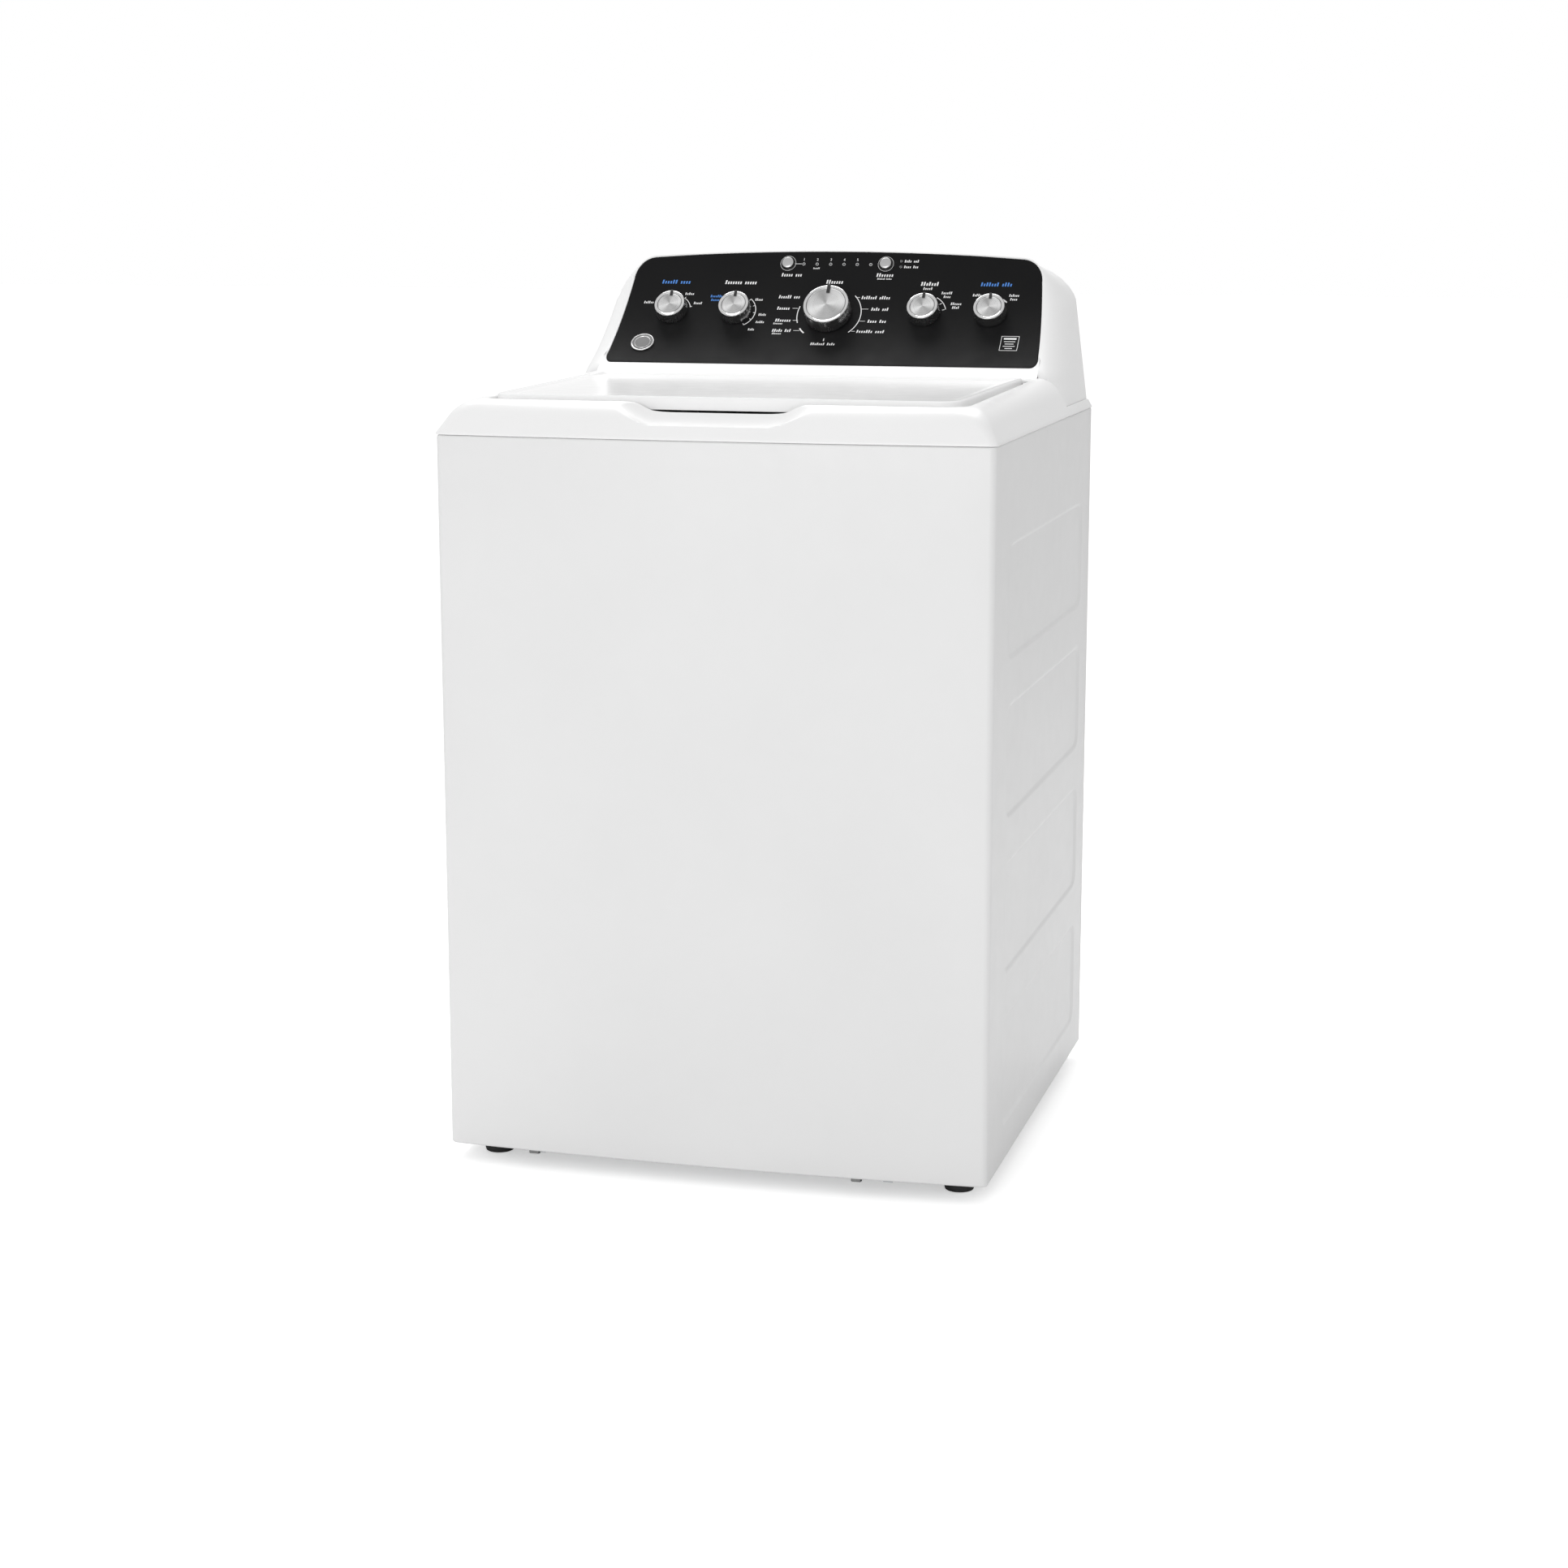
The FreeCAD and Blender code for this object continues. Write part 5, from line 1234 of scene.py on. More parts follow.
    def body(self) -> Patch:
        """The blend from the front edge to the flank and on to the rear.

        Returns:
            The surface. Each row is a quarter ellipse from the front edge, which ends a little
            short of the flank's own direction, so that a soft crease is left there, and then a
            straight run to the rear.
        """
        front, rear = self.edge_pairs()
        width = np.hypot(rear[:, 0] - front[:, 0], rear[:, 1] - front[:, 2])
        reach = np.clip(width / self.blend_x, 0.06, 1.0) * self.blend_y
        reach = np.minimum(reach, self.back - 1.0 - front[:, 1])
        turn = np.linspace(0, 1, 18) * math.radians(78.0)
        across = (np.sin(turn) / np.sin(turn[-1]))[:, None]
        along = ((1 - np.cos(turn)) / (1 - np.cos(turn[-1])))[:, None]
        x = front[:, 0] + (rear[:, 0] - front[:, 0]) * across
        z = front[:, 2] + (rear[:, 1] - front[:, 2]) * across
        y = front[:, 1] + reach * along
        back = y[-1] + (self.back - y[-1]) * np.linspace(0, 1, 7)[1:, None]
        lip = np.array([1.0, 6.0])[:, None]
        shrink = np.array([0.997, 0.97])[:, None]
        x = np.concatenate([x, rear[:, 0] + 0 * back, rear[:, 0] * shrink])
        z = np.concatenate([z, rear[:, 1] + 0 * back, 1000 + (rear[:, 1] - 1000) * shrink])
        y = np.concatenate([y, back, self.back + 0 * lip + 0 * rear[:, 0]])
        right = np.stack([x, np.maximum(y, self.deck_y), z], -1)
        left = right[:, ::-1] * [-1, 1, 1]
        return grid_patch(np.concatenate([right, left[:, 1:]], 1))

    def surround(self) -> Patch:
        """The narrow white frame in front, from the body's edge to the step round the black face.

        Returns:
            The surface.
        """
        rings = []
        outer = self.fascia_line(self.frame)
        for grow, depth in ((self.fascia_gap, 3.0), (self.fascia_gap, 0.6), (self.fascia_gap + 0.5, 0.0),
                            (self.frame, 0.0)):
            line = self.fascia_line(grow)
            rings.append(np.stack([line[:, 0], FACE.y(line[:, 1], depth), line[:, 1]], 1))
        low = outer[:, 1] < self.corner_z
        turning = low & (np.abs(outer[:, 0]) > self.turn_x)
        wide = float(self.frame_x(np.array(self.front_z)))
        u = np.clip((outer[:, 1] - outer[low, 1].min()) / np.ptp(outer[turning, 1]), 0.0, 1.0)
        rise = np.where(turning, np.clip(2 * u - 0.5, 0, 1), 0.0) * (outer[:, 1] - self.front_z)
        drop_z = np.where(low, self.front_z + rise, outer[:, 1])
        inner_x = np.abs(outer[:, 0])
        widened = inner_x + (wide - inner_x) * np.clip(4 * u, 0, 1)
        full = np.where(drop_z > self.front_z, self.frame_x(drop_z), widened)
        drop_x = np.where(turning, np.sign(outer[:, 0]) * full, outer[:, 0])
        share = np.linspace(0, 1, 6)[1:, None]
        x = outer[:, 0] + (drop_x - outer[:, 0]) * share
        z = outer[:, 1] + (drop_z - outer[:, 1]) * share
        return loft(rings + list(np.stack([x, FACE.y(z), z], -1)))

    def build(self) -> None:
        """Makes the console body."""
        shell = joined([self.body().outward([0, 260, 1000]), self.surround().outward([0, 400, 1000])])
        MAKER.piece("console_shell", shell, Finishes.white_plastic, replaces=("console_housing",), wall=1.8,
                    crease=50)


@dataclass(frozen=True)
class Fascia:
    """The black control face: a thin curved plate in the console's recess."""

    console: Console = Console()
    spine: tuple[float, float] = (200.0, 1040.0)
    thickness: float = 2.2

    def face(self) -> Patch:
        """Rings of the outline that shrink to a level spine, laid on the cylinder.

        Returns:
            The closed plate: its front, its rounded edge and its back.
        """
        line = self.console.fascia_line()
        half, level = self.spine
        spine = np.stack([np.clip(line[:, 0], -half, half), level + 0 * line[:, 0]], 1)
        edge = [(0.9, 0.0), (0.35, 0.12), (0.08, 0.45), (0.0, 0.9)]
        rings = []
        for share in np.linspace(0.0, 0.97, 14):
            flat = spine + (inset_line(line, 0.9) - spine) * share
            rings.append(self.on_face(flat, 0.0))
        rings += [self.on_face(inset_line(line, inset), depth) for inset, depth in edge]
        rings.append(self.on_face(line, self.thickness))
        for share in (0.97, 0.5, 0.0):
            rings.append(self.on_face(spine + (line - spine) * share, self.thickness))
        return loft(rings)

    def on_face(self, flat: Array, depth: float) -> Array:
        """Flat points, across and height, at a depth behind the face."""
        return np.stack([flat[:, 0], FACE.y(flat[:, 1], depth), flat[:, 1]], 1)

    def build(self) -> None:
        """Makes the black face."""
        MAKER.piece("fascia_plate", self.face().outward(), Finishes.black_fascia,
                    replaces=("control_fascia",))


class Ink(Enum):
    """The two printed colours."""

    WHITE = "white_ink"
    BLUE = "blue_ink"


@dataclass
class Print:
    """Printed marks on the control face, laid flat and then wrapped on it.

    Words are rows of plain slanted blocks, and the only signs are the numbers over the lamps.
    """

    lift: float = 0.14
    marks: dict[Ink, list[Patch]] = field(default_factory=lambda: {ink: [] for ink in Ink})
    words: int = 0

    def add(self, flat: Patch, ink: Ink = Ink.WHITE) -> None:
        """Wraps flat marks on the face, just off it."""
        self.marks[ink].append(Patch(FACE.wrap(flat.points[:, :2], self.lift), flat.quads))

    def quad(self, corners: Array, ink: Ink = Ink.WHITE) -> None:
        """A four-cornered mark, anticlockwise from its lower left, cut in three up the face.

        Args:
            corners: four points by 2.
            ink: its colour.
        """
        share = np.linspace(0, 1, 4)[:, None]
        left = corners[0] + (corners[3] - corners[0]) * share
        right = corners[1] + (corners[2] - corners[1]) * share
        self.add(grid_patch(np.stack([left, right], 1)), ink)

    def bar(self, x: float, up: float, half_x: float, half_up: float, slant: float = 0.0,
            ink: Ink = Ink.WHITE) -> None:
        """An upright or slanted block about its middle.

        Args:
            x: its middle, across.
            up: its middle, up the face.
            half_x: half its width.
            half_up: half its height.
            slant: how far it leans across for each step up.
            ink: its colour.
        """
        lean = slant * half_up
        self.quad(np.array([[x - half_x - lean, up - half_up], [x + half_x - lean, up - half_up],
                            [x + half_x + lean, up + half_up], [x - half_x + lean, up + half_up]]), ink)

    def word(self, x: float, up: float, width: float, height: float = 3.6, ink: Ink = Ink.WHITE) -> None:
        """A row of small slanted blocks that stands where a word would be.

        The first block is tall, the others take one of two heights in turn, and a long row has a gap.

        Args:
            x: middle of the row.
            up: distance up the face of its middle.
            width: width of the row.
            height: height of a tall block.
            ink: the printed colour.
        """
        self.words += 1
        count = max(int(round(width / (height * 0.62))), 1)
        pitch = width / count
        for i in range(count):
            if count > 7 and i == (count * 3) // 5:
                continue
            half = height * (0.5 if i == 0 or (i * 5 + self.words * 3 + i * i) % 7 in (1, 4) else 0.34)
            middle = x - width / 2 + pitch * (i + 0.5)
            self.bar(middle, up - height / 2 + half, 0.28 * pitch, half, 0.14, ink)

    def arc(self, x: float, up: float, radius: float, start: float, end: float, width: float = 0.5) -> None:
        """Part of a ring, from one angle in degrees to another.

        Args:
            x: middle of the ring, across.
            up: middle of the ring, up the face.
            radius: of the middle of the line.
            start: angle where it starts.
            end: angle where it ends.
            width: of the line.
        """
        steps = max(int(abs(end - start) / 3), 3)
        angle = np.radians(np.linspace(start, end, steps + 1))
        reach = radius + np.array([width / 2, -width / 2])
        across, above = np.outer(np.cos(angle), reach), np.outer(np.sin(angle), reach)
        self.add(grid_patch(np.stack([x + across, up + above], -1)))

    def tick(self, x: float, up: float, radius: float, angle: float, length: float,
             width: float = 0.9) -> None:
        """A short mark that points away from a knob's middle.

        Args:
            x: the knob's middle, across.
            up: the knob's middle, up the face.
            radius: where the mark starts.
            angle: its direction, in degrees.
            length: of the mark.
            width: of the mark.
        """
        turn = math.radians(angle)
        out, side = np.array([math.cos(turn), math.sin(turn)]), np.array([-math.sin(turn), math.cos(turn)])
        middle = np.array([x, up])
        near, far = middle + out * radius, middle + out * (radius + length)
        half = side * width / 2
        self.quad(np.array([near + half, near - half, far - half, far + half]))

    def number(self, text: str, x: float, up: float, height: float) -> None:
        """A numeral from the built-in font, as a mesh wrapped on the face.

        Args:
            text: the numeral.
            x: its middle, across.
            up: its middle, up the face.
            height: of a digit, in millimetres.
        """
        curve = bpy.data.curves.new("numeral", "FONT")
        curve.body, curve.size, curve.resolution_u = text, height / 0.7 * MM, 3
        curve.align_x, curve.align_y = "CENTER", "CENTER"
        holder = bpy.data.objects.new("numeral", curve)
        bpy.context.scene.collection.objects.link(holder)
        bpy.context.view_layer.update()
        mesh = bpy.data.meshes.new_from_object(holder)
        points = np.zeros(len(mesh.vertices) * 3)
        mesh.vertices.foreach_get("co", points)
        points = points.reshape(-1, 3) / MM
        mesh.calc_loop_triangles()
        corners = np.zeros(len(mesh.loop_triangles) * 3, np.int32)
        mesh.loop_triangles.foreach_get("vertices", corners)
        corners = corners.reshape(-1, 3)
        bpy.data.objects.remove(holder)
        bpy.data.curves.remove(curve)
        bpy.data.meshes.remove(mesh)
        a, b, c = (points[corners[:, i]] for i in range(3))
        turned = np.cross(b - a, c - a)[:, 2] < 0
        corners[turned] = corners[turned][:, ::-1]
        self.add(Patch(points + [x, up, 0], np.column_stack([corners, corners[:, 2]])))

    def around_main(self) -> None:
        """Marks about the cycle dial."""
        left = [(-59.4, 27.8, 30), (-64.9, 9.4, 18), (-62.2, -10.8, 22), (-61.1, -28.6, 26.5)]
        right = [(60.6, 27.8, 40), (68.7, 9.4, 24), (67.7, -10.8, 26), (61.6, -28.6, 38.5)]
        for x, up, width in left + right:
            self.word(x, up, width, 5.0)
        for x, up in ((-68.3, -16.4), (-67.0, -34.2)):
            self.word(x, up, 13, 3.0)
        self.word(0.4, -52.4, 34, 4.6)
        self.bar(0.4, -44.6, 0.6, 2.4)
        for low, high, up in ((-52.2, -44.7, 9.4), (-48.4, -41.3, -10.8), (-44.4, -36.1, -28.6),
                              (32.6, 38.7, 28.0), (43.5, 53.0, 9.4), (43.8, 51.6, -10.8),
                              (35.3, 40.5, -28.6)):
            self.bar((low + high) / 2, up, (high - low) / 2, 0.3)
        self.arc(0, 0, 44, -44, 44, 1.2)
        self.arc(0, 0, 44, 163, 200, 1.2)
        self.arc(0, 0, 44, 214, 228, 2.0)

    def around_small(self) -> None:
        """Marks about the four option knobs."""
        arcs = ((25.2, 16, 56, 1.1), (27.2, -57, 49, 1.1), (29.0, 14, 61, 1.1), (27.0, 45, 60, 2.0))
        stops = ((132, 56, 16), (140, 49, 22, -4, -30, -57), (92, 61, 38, 14), (128, 52))
        for x, arc, angles in zip(SMALL_X, arcs, stops):
            self.arc(x, SMALL_UP, *arc)
            for angle in angles:
                self.tick(x, SMALL_UP, 24.2, angle, 3.4)
        labels = [(Ink.WHITE, [(-256.5, 1046, 14), (-200.7, 1057.6, 13), (-186.6, 1045.5, 12)]),
                  (Ink.BLUE, [(-162.1, 1054.8, 17), (-163.0, 1050.0, 12)]),
                  (Ink.WHITE, [(-101.3, 1050.9, 11), (-92.8, 1031.4, 11), (-93.8, 1021.9, 12),
                               (-103.7, 1012.3, 9), (130, 1067.2, 13), (156.8, 1061.7, 15),
                               (157.8, 1056.9, 10), (171.5, 1047.9, 15), (171.5, 1043.1, 10),
                               (198.2, 1059.3, 12), (248.4, 1059.3, 14), (248.4, 1054.5, 10)])]
        for ink, rows in labels:
            for x, height, width in rows:
                self.word(x, FACE.up_of(height), width, 3.9, ink)
        headings = [(-222.5, 49.9, 41, Ink.BLUE), (-130.7, 49.9, 45, Ink.WHITE), (0.4, 51.8, 24, Ink.WHITE),
                    (131.9, 49.9, 25, Ink.WHITE), (222.6, 49.9, 43, Ink.BLUE)]
        for x, up, width, ink in headings:
            self.word(x, up, width, 5.8, ink)

    def along_top(self) -> None:
        """Marks about the lamps and the two buttons."""
        for i, x in enumerate((-46.1, -27.4, -8.6, 10.0, 28.4, 47.2)):
            self.arc(x, 78.1, 1.9, 0, 360, 0.35)
            if i < 5:
                self.number(str(i + 1), x, 84.6, 3.6)
        for up in (83.3, 75.0):
            self.arc(89.0, up, 1.5, 0, 360, 0.35)
            self.word(103.3, up, 20, 3.8)
        self.bar(-53.6, 78.4, 4.6, 0.3)
        self.word(-27.7, 72.0, 9, 2.4)
        self.word(-60.9, 62.0, 29, 5.2)
        self.word(68.6, 62.6, 24, 5.2)
        self.word(68.6, 56.9, 20, 2.4)
        for x in BUTTON_X:
            self.arc(x, BUTTON_UP, 10.6, 0, 360, 0.4)

    def sticker(self) -> None:
        """The upright outlined label at the right, with plain bars in it."""
        x, up, half_x, half_up = 252.6, -47.0, 11.7, 13.0
        for side in (-1, 1):
            self.bar(x + side * half_x, up, 0.35, half_up)
            self.bar(x, up + side * half_up, half_x, 0.35)
        self.bar(x, up + 8.6, 8.4, 1.5)
        for i, width in enumerate((7.5, 6.0, 8.0, 5.0)):
            self.bar(x, up + 3.4 - 4.2 * i, width, 0.55)

    def build(self) -> None:
        """Makes every printed mark, one piece for each colour."""
        self.around_main()
        self.around_small()
        self.along_top()
        self.sticker()
        for ink, finish in zip(Ink, (Finishes.white_ink, Finishes.blue_ink)):
            marks = self.facing_out(joined(self.marks[ink]))
            MAKER.piece(f"{ink.value}_marks", marks, finish, slot="black_fascia", wall=0.1)

    @staticmethod
    def facing_out(flat: Patch) -> Patch:
        """Marks with each face turned to the front.

        Args:
            flat: the marks.
        Returns:
            The same marks, without a map.
        """
        p = flat.points[flat.quads]
        normal = np.cross(p[:, 1] - p[:, 0], p[:, 2] - p[:, 0])
        quads = flat.quads.copy()
        behind = normal[:, 1] > 0
        quads[behind] = quads[behind][:, ::-1]
        return Patch(flat.points, quads)


@dataclass(frozen=True)
class Knob:
    """A turning knob: a glossy black skirt, a bright ring and a spun silver face."""

    name: str
    x: float
    up: float
    radius: float
    height: float
    gap: float = 1.2
    rim: float = 0.955
    face: float = 0.735
    pointer: float = 90.0

    def parts(self) -> dict[str, tuple[Patch, Finish, float]]:
        """Each surface of the knob, turned about its own axis on the face.

        Returns:
            For each part's name its surface and its finish.
        """
        place, r, h, g = FACE.place(self.x, self.up, 0.0), self.radius, self.height, self.gap
        rim, inner = self.rim * r, self.face * r
        skirt = fillet([(0, g, 0), (r - 0.4, g, 0.4), (r, g + 1.2, 0.8), (rim + 0.15, h - 1.6, 8.0),
                        (rim - 0.1, h - 0.9, 0.3), (rim - 0.8, h - 1.4, 0.2), (rim - 1.0, h - 2.6, 0),
                        (0, h - 2.6, 0)], 6)
        ring = fillet([(rim - 0.9, h - 2.2, 0), (rim, h - 1.0, 0.3), (rim - 0.5, h - 0.2, 0.5),
                       (rim - 1.4, h + 0.1, 0.6), (inner + 0.9, h - 0.5, 0.4), (inner + 0.45, h - 1.6, 0.3),
                       (inner + 0.4, h - 2.2, 0)], 5)
        ring = np.concatenate([ring, ring[:1]])
        face = fillet([(0.0, h - 2.2, 0), (inner, h - 2.2, 0), (inner, h - 0.95, 0.35),
                       (inner - 0.8, h - 0.7, 0.5), (0.45 * r, h - 0.75, 4.0), (0, h - 0.8, 0)], 6)
        spokes = np.linspace(0.4, 0, 12)
        face = np.concatenate([face[:-1], np.stack([spokes * r, h - 0.8 + 0 * spokes], 1)])
        bar = self.bar_outline()
        grip = plate(bar, [(0, h - 0.9), (0, h + 0.2), (0.25, h + 0.55), (0.7, h + 0.7)], place)
        return {"skirt": (revolved(skirt, place), Finishes.smoked_chrome),
                "ring": (revolved(ring, place), Finishes.chrome),
                "face": (revolved(face, place), Finishes.spun_silver),
                "pointer": (grip, Finishes.knob_black)}

    def bar_outline(self) -> Array:
        """The pointer's outline, turned to the angle that the knob rests at.

        Returns:
            Closed line of points by 2.
        """
        inner, outer, half = 0.57 * self.radius, (self.rim + 0.012) * self.radius, 1.1 + 0.04 * self.radius
        line = round_bar((outer - inner) / 2, half, half * 0.4) + [(outer + inner) / 2, 0]
        turn = math.radians(self.pointer)
        return line @ np.array([[math.cos(turn), math.sin(turn)], [-math.sin(turn), math.cos(turn)]])

    def build(self) -> None:
        """Makes the knob's parts. The skirt and face stand for the CAD knob and its cap."""
        stands_for = {"skirt": (self.name,), "face": (f"{self.name}_cap",)}
        for part, (patch, finish) in self.parts().items():
            slot = finish.name if finish.name in SLOT_NAMES else "knob_black"
            MAKER.piece(f"{self.name}_{part}", patch.outward(), finish, self.name, slot,
                        replaces=stands_for.get(part, ()), crease=28)


@dataclass(frozen=True)
class PushButton:
    """A domed silver button in a black ring."""

    name: str
    x: float
    radius: float = 8.2

    def build(self) -> None:
        """Makes the button and the ring that it sits in."""
        place, r = FACE.place(self.x, BUTTON_UP), self.radius
        cap = fillet([(0, -3.0, 0), (r - 0.3, -3.0, 0), (r - 0.3, 3.0, 0), (r - 0.3, 4.0, 0.9),
                      (r - 2.4, 4.75, 3.0), (0.3 * r, 5.05, 2.0), (0, 5.1, 0)], 6)
        collar = fillet([(r + 0.15, -1.0, 0), (r + 1.4, -1.0, 0), (r + 1.35, 0.7, 0.4), (r + 0.6, 1.1, 0.4),
                         (r + 0.15, 0.6, 0.2), (r + 0.15, -1.0, 0)], 4)
        MAKER.piece(f"{self.name}_dome", revolved(cap, place, 64).outward(), Finishes.button_silver,
                    self.name, replaces=(self.name,))
        MAKER.piece(f"{self.name}_collar", revolved(collar, place, 64).outward(), Finishes.knob_black)


@dataclass(frozen=True)
class Badge:
    """A round badge with a plain raised rim and ring, and nothing on it."""

    x: float = -250.6
    up: float = -54.7
    radius: float = 16.0

    def build(self) -> None:
        """Makes the dark disc and its two bright rings."""
        place, r = FACE.place(self.x, self.up, -0.6), self.radius
        disc = fillet([(0, 0, 0), (r - 0.6, 0, 0), (r - 0.6, 1.9, 0.3), (0.5 * r, 2.1, 5.0), (0, 2.1, 0)], 6)
        rings = []
        for outer, inner in ((r, r - 2.0), (0.70 * r, 0.70 * r - 0.8)):
            line = fillet([(inner, 1.2, 0), (inner, 2.4, 0.3), (0.5 * (outer + inner), 2.75, 0.8),
                           (outer, 2.3, 0.4), (outer, 1.2, 0)], 5)
            rings.append(revolved(np.concatenate([line, line[:1]]), place, 72).outward())
        MAKER.piece("badge_disc", revolved(disc, place, 72).outward(), Finishes.switch_grey,
                    slot="badge_metal", replaces=("emblem_disc",))
        MAKER.piece("badge_rings", joined(rings), Finishes.badge_metal, slot="badge_metal")


@dataclass(frozen=True)
class Controls:
    """Everything that a hand turns or presses, and the blank badge."""

    small: tuple[str, ...] = ("water_knob", "temperature_knob", "rinse_knob", "boost_knob")
    buttons: tuple[str, ...] = ("deep_fill_button", "start_button")

    def build(self) -> None:
        """Makes the large knob, the four small ones, the buttons and the badge."""
        Knob("cycle_knob", 0.0, 0.0, 31.5, 24.0, 2.2, 0.98, 0.83).build()
        for name, x in zip(self.small, SMALL_X):
            Knob(name, x, SMALL_UP, 22.0, 18.0).build()
        for name, x in zip(self.buttons, BUTTON_X):
            PushButton(name, x).build()
        Badge().build()


# ------------------------------------------------------------------ wash unit
@dataclass(frozen=True)
class WashBasket:
    """The stainless basket with its rows of holes, the balance ring and the agitator."""

    y: float = -15.0
    radius: float = 268.0
    low: float = 270.0
    high: float = 850.0
    band: float = 60.0
    hole: float = 2.2
    around: int = 60
    rows: int = 20
    fin_foot_z: float = 433.0
    fin_climb: float = 226.0
    fin_turn: float = 300.0
    fin_root: float = 47.0
    fin_depth: float = 44.0

    @property
    def axis(self) -> Place:
        """The upright axis that everything here turns about."""
        return Place((0, self.y, 0))

    def perforated(self) -> Patch:
        """The wall as square cells, each with an eight-sided hole in its middle.

        Returns:
            The wall. In every cell eight corners of the hole join eight points of the cell's
            edge, and the cells repeat around and up the wall.
        """
        turn = np.arange(8) * math.pi / 4 + math.pi / 8
        z0, z1 = self.low + self.band, self.high - self.band
        wide, tall = FULL_TURN * self.radius / self.around, (z1 - z0) / self.rows
        square = np.array([(1, 0.4), (0.4, 1), (-0.4, 1), (-1, 0.4)])
        square = np.concatenate([square, -square])
        outer = square * [wide / 2, tall / 2]
        corners = np.array([(1, 1), (-1, 1), (-1, -1), (1, -1)]) * [wide / 2, tall / 2]
        inner = np.stack([np.cos(turn), np.sin(turn)], 1) * self.hole
        cell = np.concatenate([inner, outer, corners])
        ring = [[i, 8 + i, 8 + (i + 1) % 8, (i + 1) % 8] for i in range(8)]
        ears = [[8 + 2 * i, 16 + i, 8 + (2 * i + 1) % 8, 8 + (2 * i + 1) % 8] for i in range(4)]
        faces = np.array(ring + ears)
        column, row = (g.ravel() for g in np.meshgrid(np.arange(self.around), np.arange(self.rows)))
        shift = np.stack([column * wide, z0 + (row + 0.5) * tall], 1)
        flat = (cell[None] + shift[:, None]).reshape(-1, 2)
        quads = (faces[None] + (np.arange(len(shift)) * len(cell))[:, None, None]).reshape(-1, 4)
        angle = flat[:, 0] / self.radius
        points = np.stack([self.radius * np.cos(angle), self.y + self.radius * np.sin(angle), flat[:, 1]], 1)
        return Patch(points, quads, np.zeros(quads.shape + (2,)))

    def plain(self) -> Patch:
        """The wall's plain bands and the dished floor, without the hole for the drive.

        Returns:
            Both as one surface.
        """
        r = self.radius
        floor = fillet([(30, self.low, 0), (150, self.low, 40), (r - 30, self.low + 0.6, 40),
                        (r, self.low + 20, 14), (r, self.low + self.band, 0)], 7)
        top = np.array([[r, self.high - self.band], [r, self.high - self.band / 2], [r, self.high]])
        return joined([revolved(floor, self.axis, 240), revolved(top, self.axis, 240)])

    def build(self) -> None:
        """Makes the basket, the balance ring, the agitator and the softener cup."""
        wall = joined([self.perforated(), self.plain()]).outward([0, self.y, 560])
        MAKER.piece("basket_wall", wall, Finishes.stainless, "basket", replaces=("wash_basket",), wall=1.0)
        ring = fillet([(240, 822, 3), (240, 816, 4), (247, 812, 4), (266.4, 812, 0), (266.4, 850.6, 0),
                       (268.8, 850.6, 0), (268.8, 854, 1.5), (256, 855.0, 5), (246, 854, 5), (240, 848, 5),
                       (240, 822, 3)], 6)
        ring = revolved(np.concatenate([ring, ring[:1]]), self.axis, 144).outward()
        MAKER.piece("balance_ring_skin", ring, Finishes.agitator_plastic, "basket", "tub_plastic",
                    replaces=("balance_ring",))
        self.agitator()

    def agitator(self) -> None:
        """The agitator's skirt and vanes, its post with two rising fins, and the cup on top."""
        skirt = fillet([(160, 288, 0), (165, 288, 1.0), (152, 300, 22), (84, 330, 40), (64, 362, 30),
                        (58, 400, 0.8), (54, 400, 0)], 10)
        outline = self.eased(np.array([
            (60, 372), (57, 392), (64, 397), (76, 392), (104, 366), (132, 342), (152, 316),
            (163, 297), (158, 291), (146, 299), (118, 312), (90, 324), (74, 338), (65, 354)]))
        edge = [(2.2, -4.4), (0.6, -3.6), (0, -2.4), (0, 2.4), (0.6, 3.6), (2.2, 4.4)]
        vanes = []
        for turn in np.radians(45 + 90 * np.arange(4)):
            out, side = (math.cos(turn), math.sin(turn), 0), (-math.sin(turn), math.cos(turn), 0)
            vanes.append(plate(outline, edge, Place(self.axis.origin, out, (0, 0, 1), side)).outward())
        base = joined([revolved(skirt, self.axis, 128).outward([0, self.y, 300]), *vanes])
        MAKER.piece("agitator_skirt", base, Finishes.agitator_plastic, "agitator",
                    replaces=("agitator_base",))
        post = fillet([(54, 400.2, 0), (57.8, 400.4, 1.0), (52, 560, 60), (48, 690, 1.0), (45, 690, 0)], 10)
        fins = [self.fin(start).outward() for start in (0.0, math.pi)]
        column = joined([revolved(post, self.axis).outward([0, self.y, 540]), *fins])
        MAKER.piece("agitator_post", column, Finishes.agitator_plastic, "agitator",
                    replaces=("agitator_column",))
        cup = fillet([(0, 690.6, 0), (44, 690.6, 0), (52, 691.2, 1.5), (54.2, 758, 3), (50, 767, 3),
                      (44, 768, 1.5), (41, 765, 1.5), (39, 700, 4), (36, 694, 4), (0, 693, 0)], 7)
        MAKER.piece("softener_cup_shell", revolved(cup, self.axis).outward(), Finishes.agitator_plastic,
                    "softener_cup", replaces=("softener_dispenser",))

    @staticmethod
    def eased(outline: Array) -> Array:
        """A closed line with each corner cut twice, a quarter and three quarters along each run.

        Args:
            outline: closed line of points by 2.
        Returns:
            The line with four times the points.
        """
        for _ in range(2):
            after = np.roll(outline, -1, axis=0)
            cuts = [0.75 * outline + 0.25 * after, 0.25 * outline + 0.75 * after]
            outline = np.stack(cuts, 1).reshape(-1, 2)
        return outline

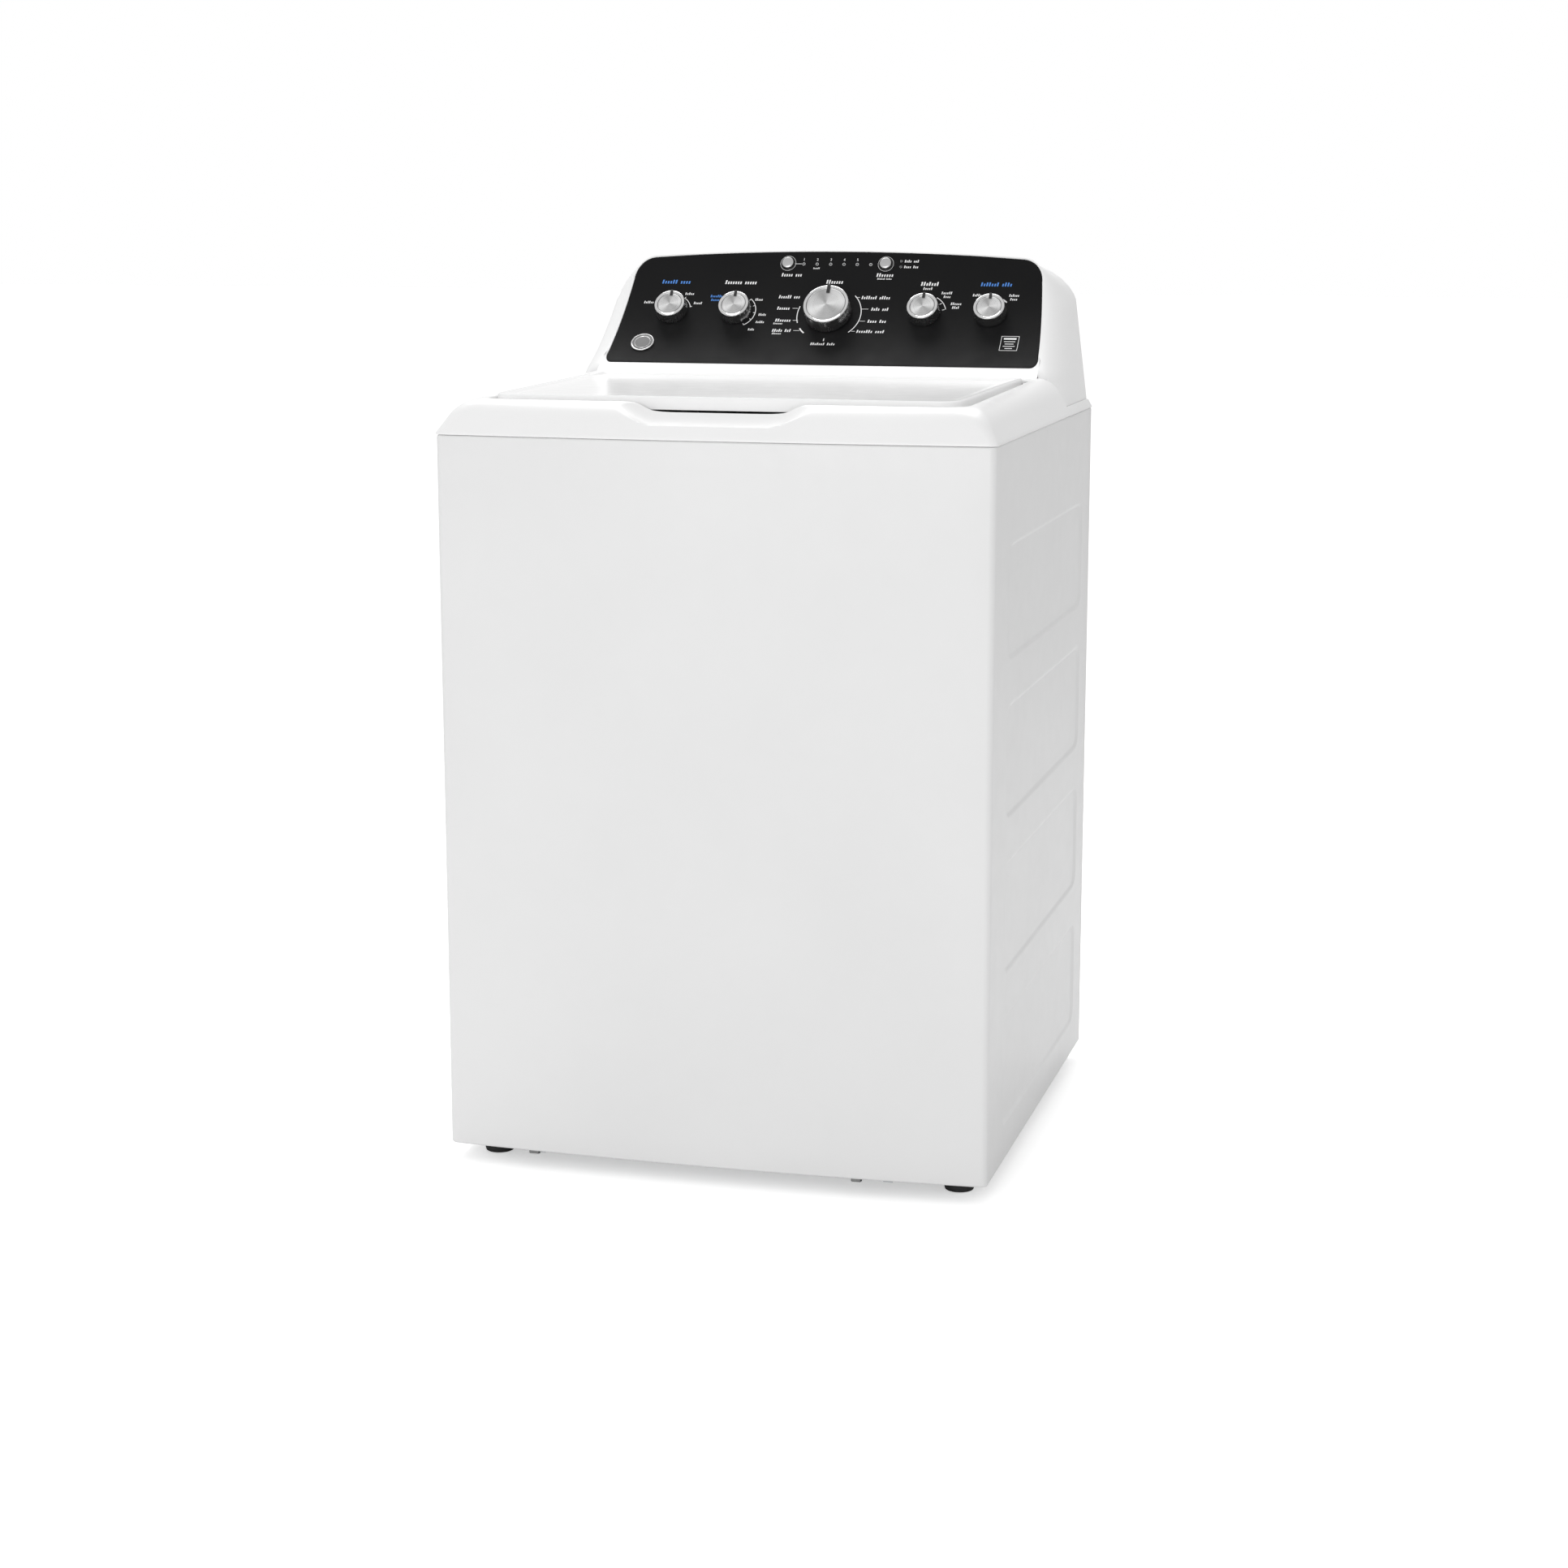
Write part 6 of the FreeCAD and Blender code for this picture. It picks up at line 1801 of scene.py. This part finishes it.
    def fin(self, start: float) -> Patch:
        """A fin that climbs round the post: a thin lens section carried up a screw line.

        Args:
            start: angle of its foot, in radians.
        Returns:
            The surface, closed at both ends.
        """
        f = np.linspace(0, 1, 61)
        angle = start + math.radians(self.fin_turn) * f
        reach = self.fin_root + 3.0 + self.fin_depth * np.sin(math.pi * f) ** 0.5
        section = np.array([(0.0, -3.4), (0.5, -2.6), (0.93, -1.7), (1.0, 0.0), (0.93, 1.7), (0.5, 2.6),
                            (0.0, 3.4)])
        r = self.fin_root + (reach[:, None] - self.fin_root) * section[None, :, 0]
        z = self.fin_foot_z + self.fin_climb * f[:, None] + section[None, :, 1] - 3.0 * section[None, :, 0]
        points = np.stack([r * np.cos(angle)[:, None], self.y + r * np.sin(angle)[:, None], z], -1)
        low, high = (0 * end + end.mean(1, keepdims=True) for end in (points[:1], points[-1:]))
        return grid_patch(np.concatenate([low, points, high]), wrap=True)


# ------------------------------------------------------------------ carried-over parts and studio
SLOTS = {part["node"]: part["material_slot"] for part in frame["record"]["subparts"]}
SLOT_NAMES = {material["slot"] for material in frame["record"]["materials"]}


@dataclass(frozen=True)
class CarriedOver:
    """The CAD nodes that keep their own shape and are only dressed."""

    def build(self) -> None:
        """Gives every shown CAD node the finish of its slot."""
        for name, node in frame["nodes"].items():
            finish = Finishes.of_slot(SLOTS[name])
            node.data.materials.clear()
            node.data.materials.append(finish.material())
            LOG.info("%s: dressed in %s", name, finish.name)


@dataclass(frozen=True)
class Studio:
    """The pale floor, the soft lights and the camera."""

    lens: float = 69.43
    spot: tuple[float, float, float] = (1.00887, -3.74091, 1.20388)
    turn: tuple[float, float, float] = (78.786, 0.0, 15.064)
    world: tuple[float, float] = (0.74, 0.67)
    floor_side: float = 30.0

    def area(self, name: str, at: tuple[float, float, float], aim: tuple[float, float, float], size: float,
             power: float) -> None:
        """A square soft light that faces a point.

        Args:
            name: of the lamp.
            at: its place.
            aim: the point that it faces.
            size: side of the square.
            power: in watts.
        """
        lamp = bpy.data.lights.new(name, "AREA")
        lamp.energy, lamp.size = power, size
        holder = bpy.data.objects.new(name, lamp)
        bpy.context.scene.collection.objects.link(holder)
        holder.location = at
        ahead = Vector(aim) - Vector(at)
        holder.rotation_euler = ahead.to_track_quat("-Z", "Y").to_euler()

    def floor(self) -> None:
        """A wide flat floor under the feet."""
        mesh = bpy.data.meshes.new("floor")
        side = self.floor_side
        corners = [(-side, -side, 0), (side, -side, 0), (side, side, 0), (-side, side, 0)]
        mesh.from_pydata(corners, [], [(0, 1, 2, 3)])
        mesh.materials.append(Finishes.floor.material())
        floor = bpy.data.objects.new("floor", mesh)
        bpy.context.scene.collection.objects.link(floor)

    def surroundings(self) -> None:
        """A white room that shines more from the left than from the right."""
        world = bpy.data.worlds.new("studio")
        world.use_nodes = True
        tree = Tree(world.node_tree)
        around = tree.add("ShaderNodeTexCoord").outputs["Generated"]
        across = tree.add("ShaderNodeSeparateXYZ", {0: around}).outputs[0]
        shine = tree.add("ShaderNodeMapRange", {
            "Value": across, "From Min": -0.7, "From Max": 0.9, "To Min": self.world[0],
            "To Max": self.world[1]}).outputs[0]
        seen = tree.add("ShaderNodeLightPath").outputs["Is Camera Ray"]
        strength = tree.maths("MAXIMUM", shine, seen)
        sky = tree.add("ShaderNodeBackground", {"Color": (1, 1, 1, 1), "Strength": strength})
        tree.add("ShaderNodeOutputWorld", {"Surface": sky.outputs[0]})
        bpy.context.scene.world = world

    def build(self) -> None:
        """Makes the studio round the machine."""
        self.floor()
        self.surroundings()
        self.area("overhead", (-0.6, 1.7, 3.2), (0, 0, 0.9), 2.2, 52.0)
        self.area("front_high", (-0.5, -5.4, 1.8), (0, 0, 0.5), 3.4, 66.0)
        bpy.context.scene.view_settings.view_transform = "Standard"
        lens = bpy.data.cameras.new("camera")
        lens.lens, lens.sensor_width = self.lens, 36.0
        lens.clip_start, lens.clip_end = 0.05, 100.0
        camera = bpy.data.objects.new("camera", lens)
        camera.location = self.spot
        camera.rotation_euler = tuple(math.radians(a) for a in self.turn)
        bpy.context.scene.collection.objects.link(camera)
        bpy.context.scene.camera = camera
        LOG.info("studio ready")


def main() -> None:
    """Builds the machine's sub-assemblies in order, then the studio."""
    logging.basicConfig(level=logging.INFO, format="%(message)s")
    sections = (CarriedOver, Cabinet, TopCover, Lid, Console, Fascia, Print, Controls, WashBasket, Studio)
    for section in sections:
        section().build()
    LOG.info("%d new pieces", len(MAKER.made))


if __name__ == "__main__":
    main()
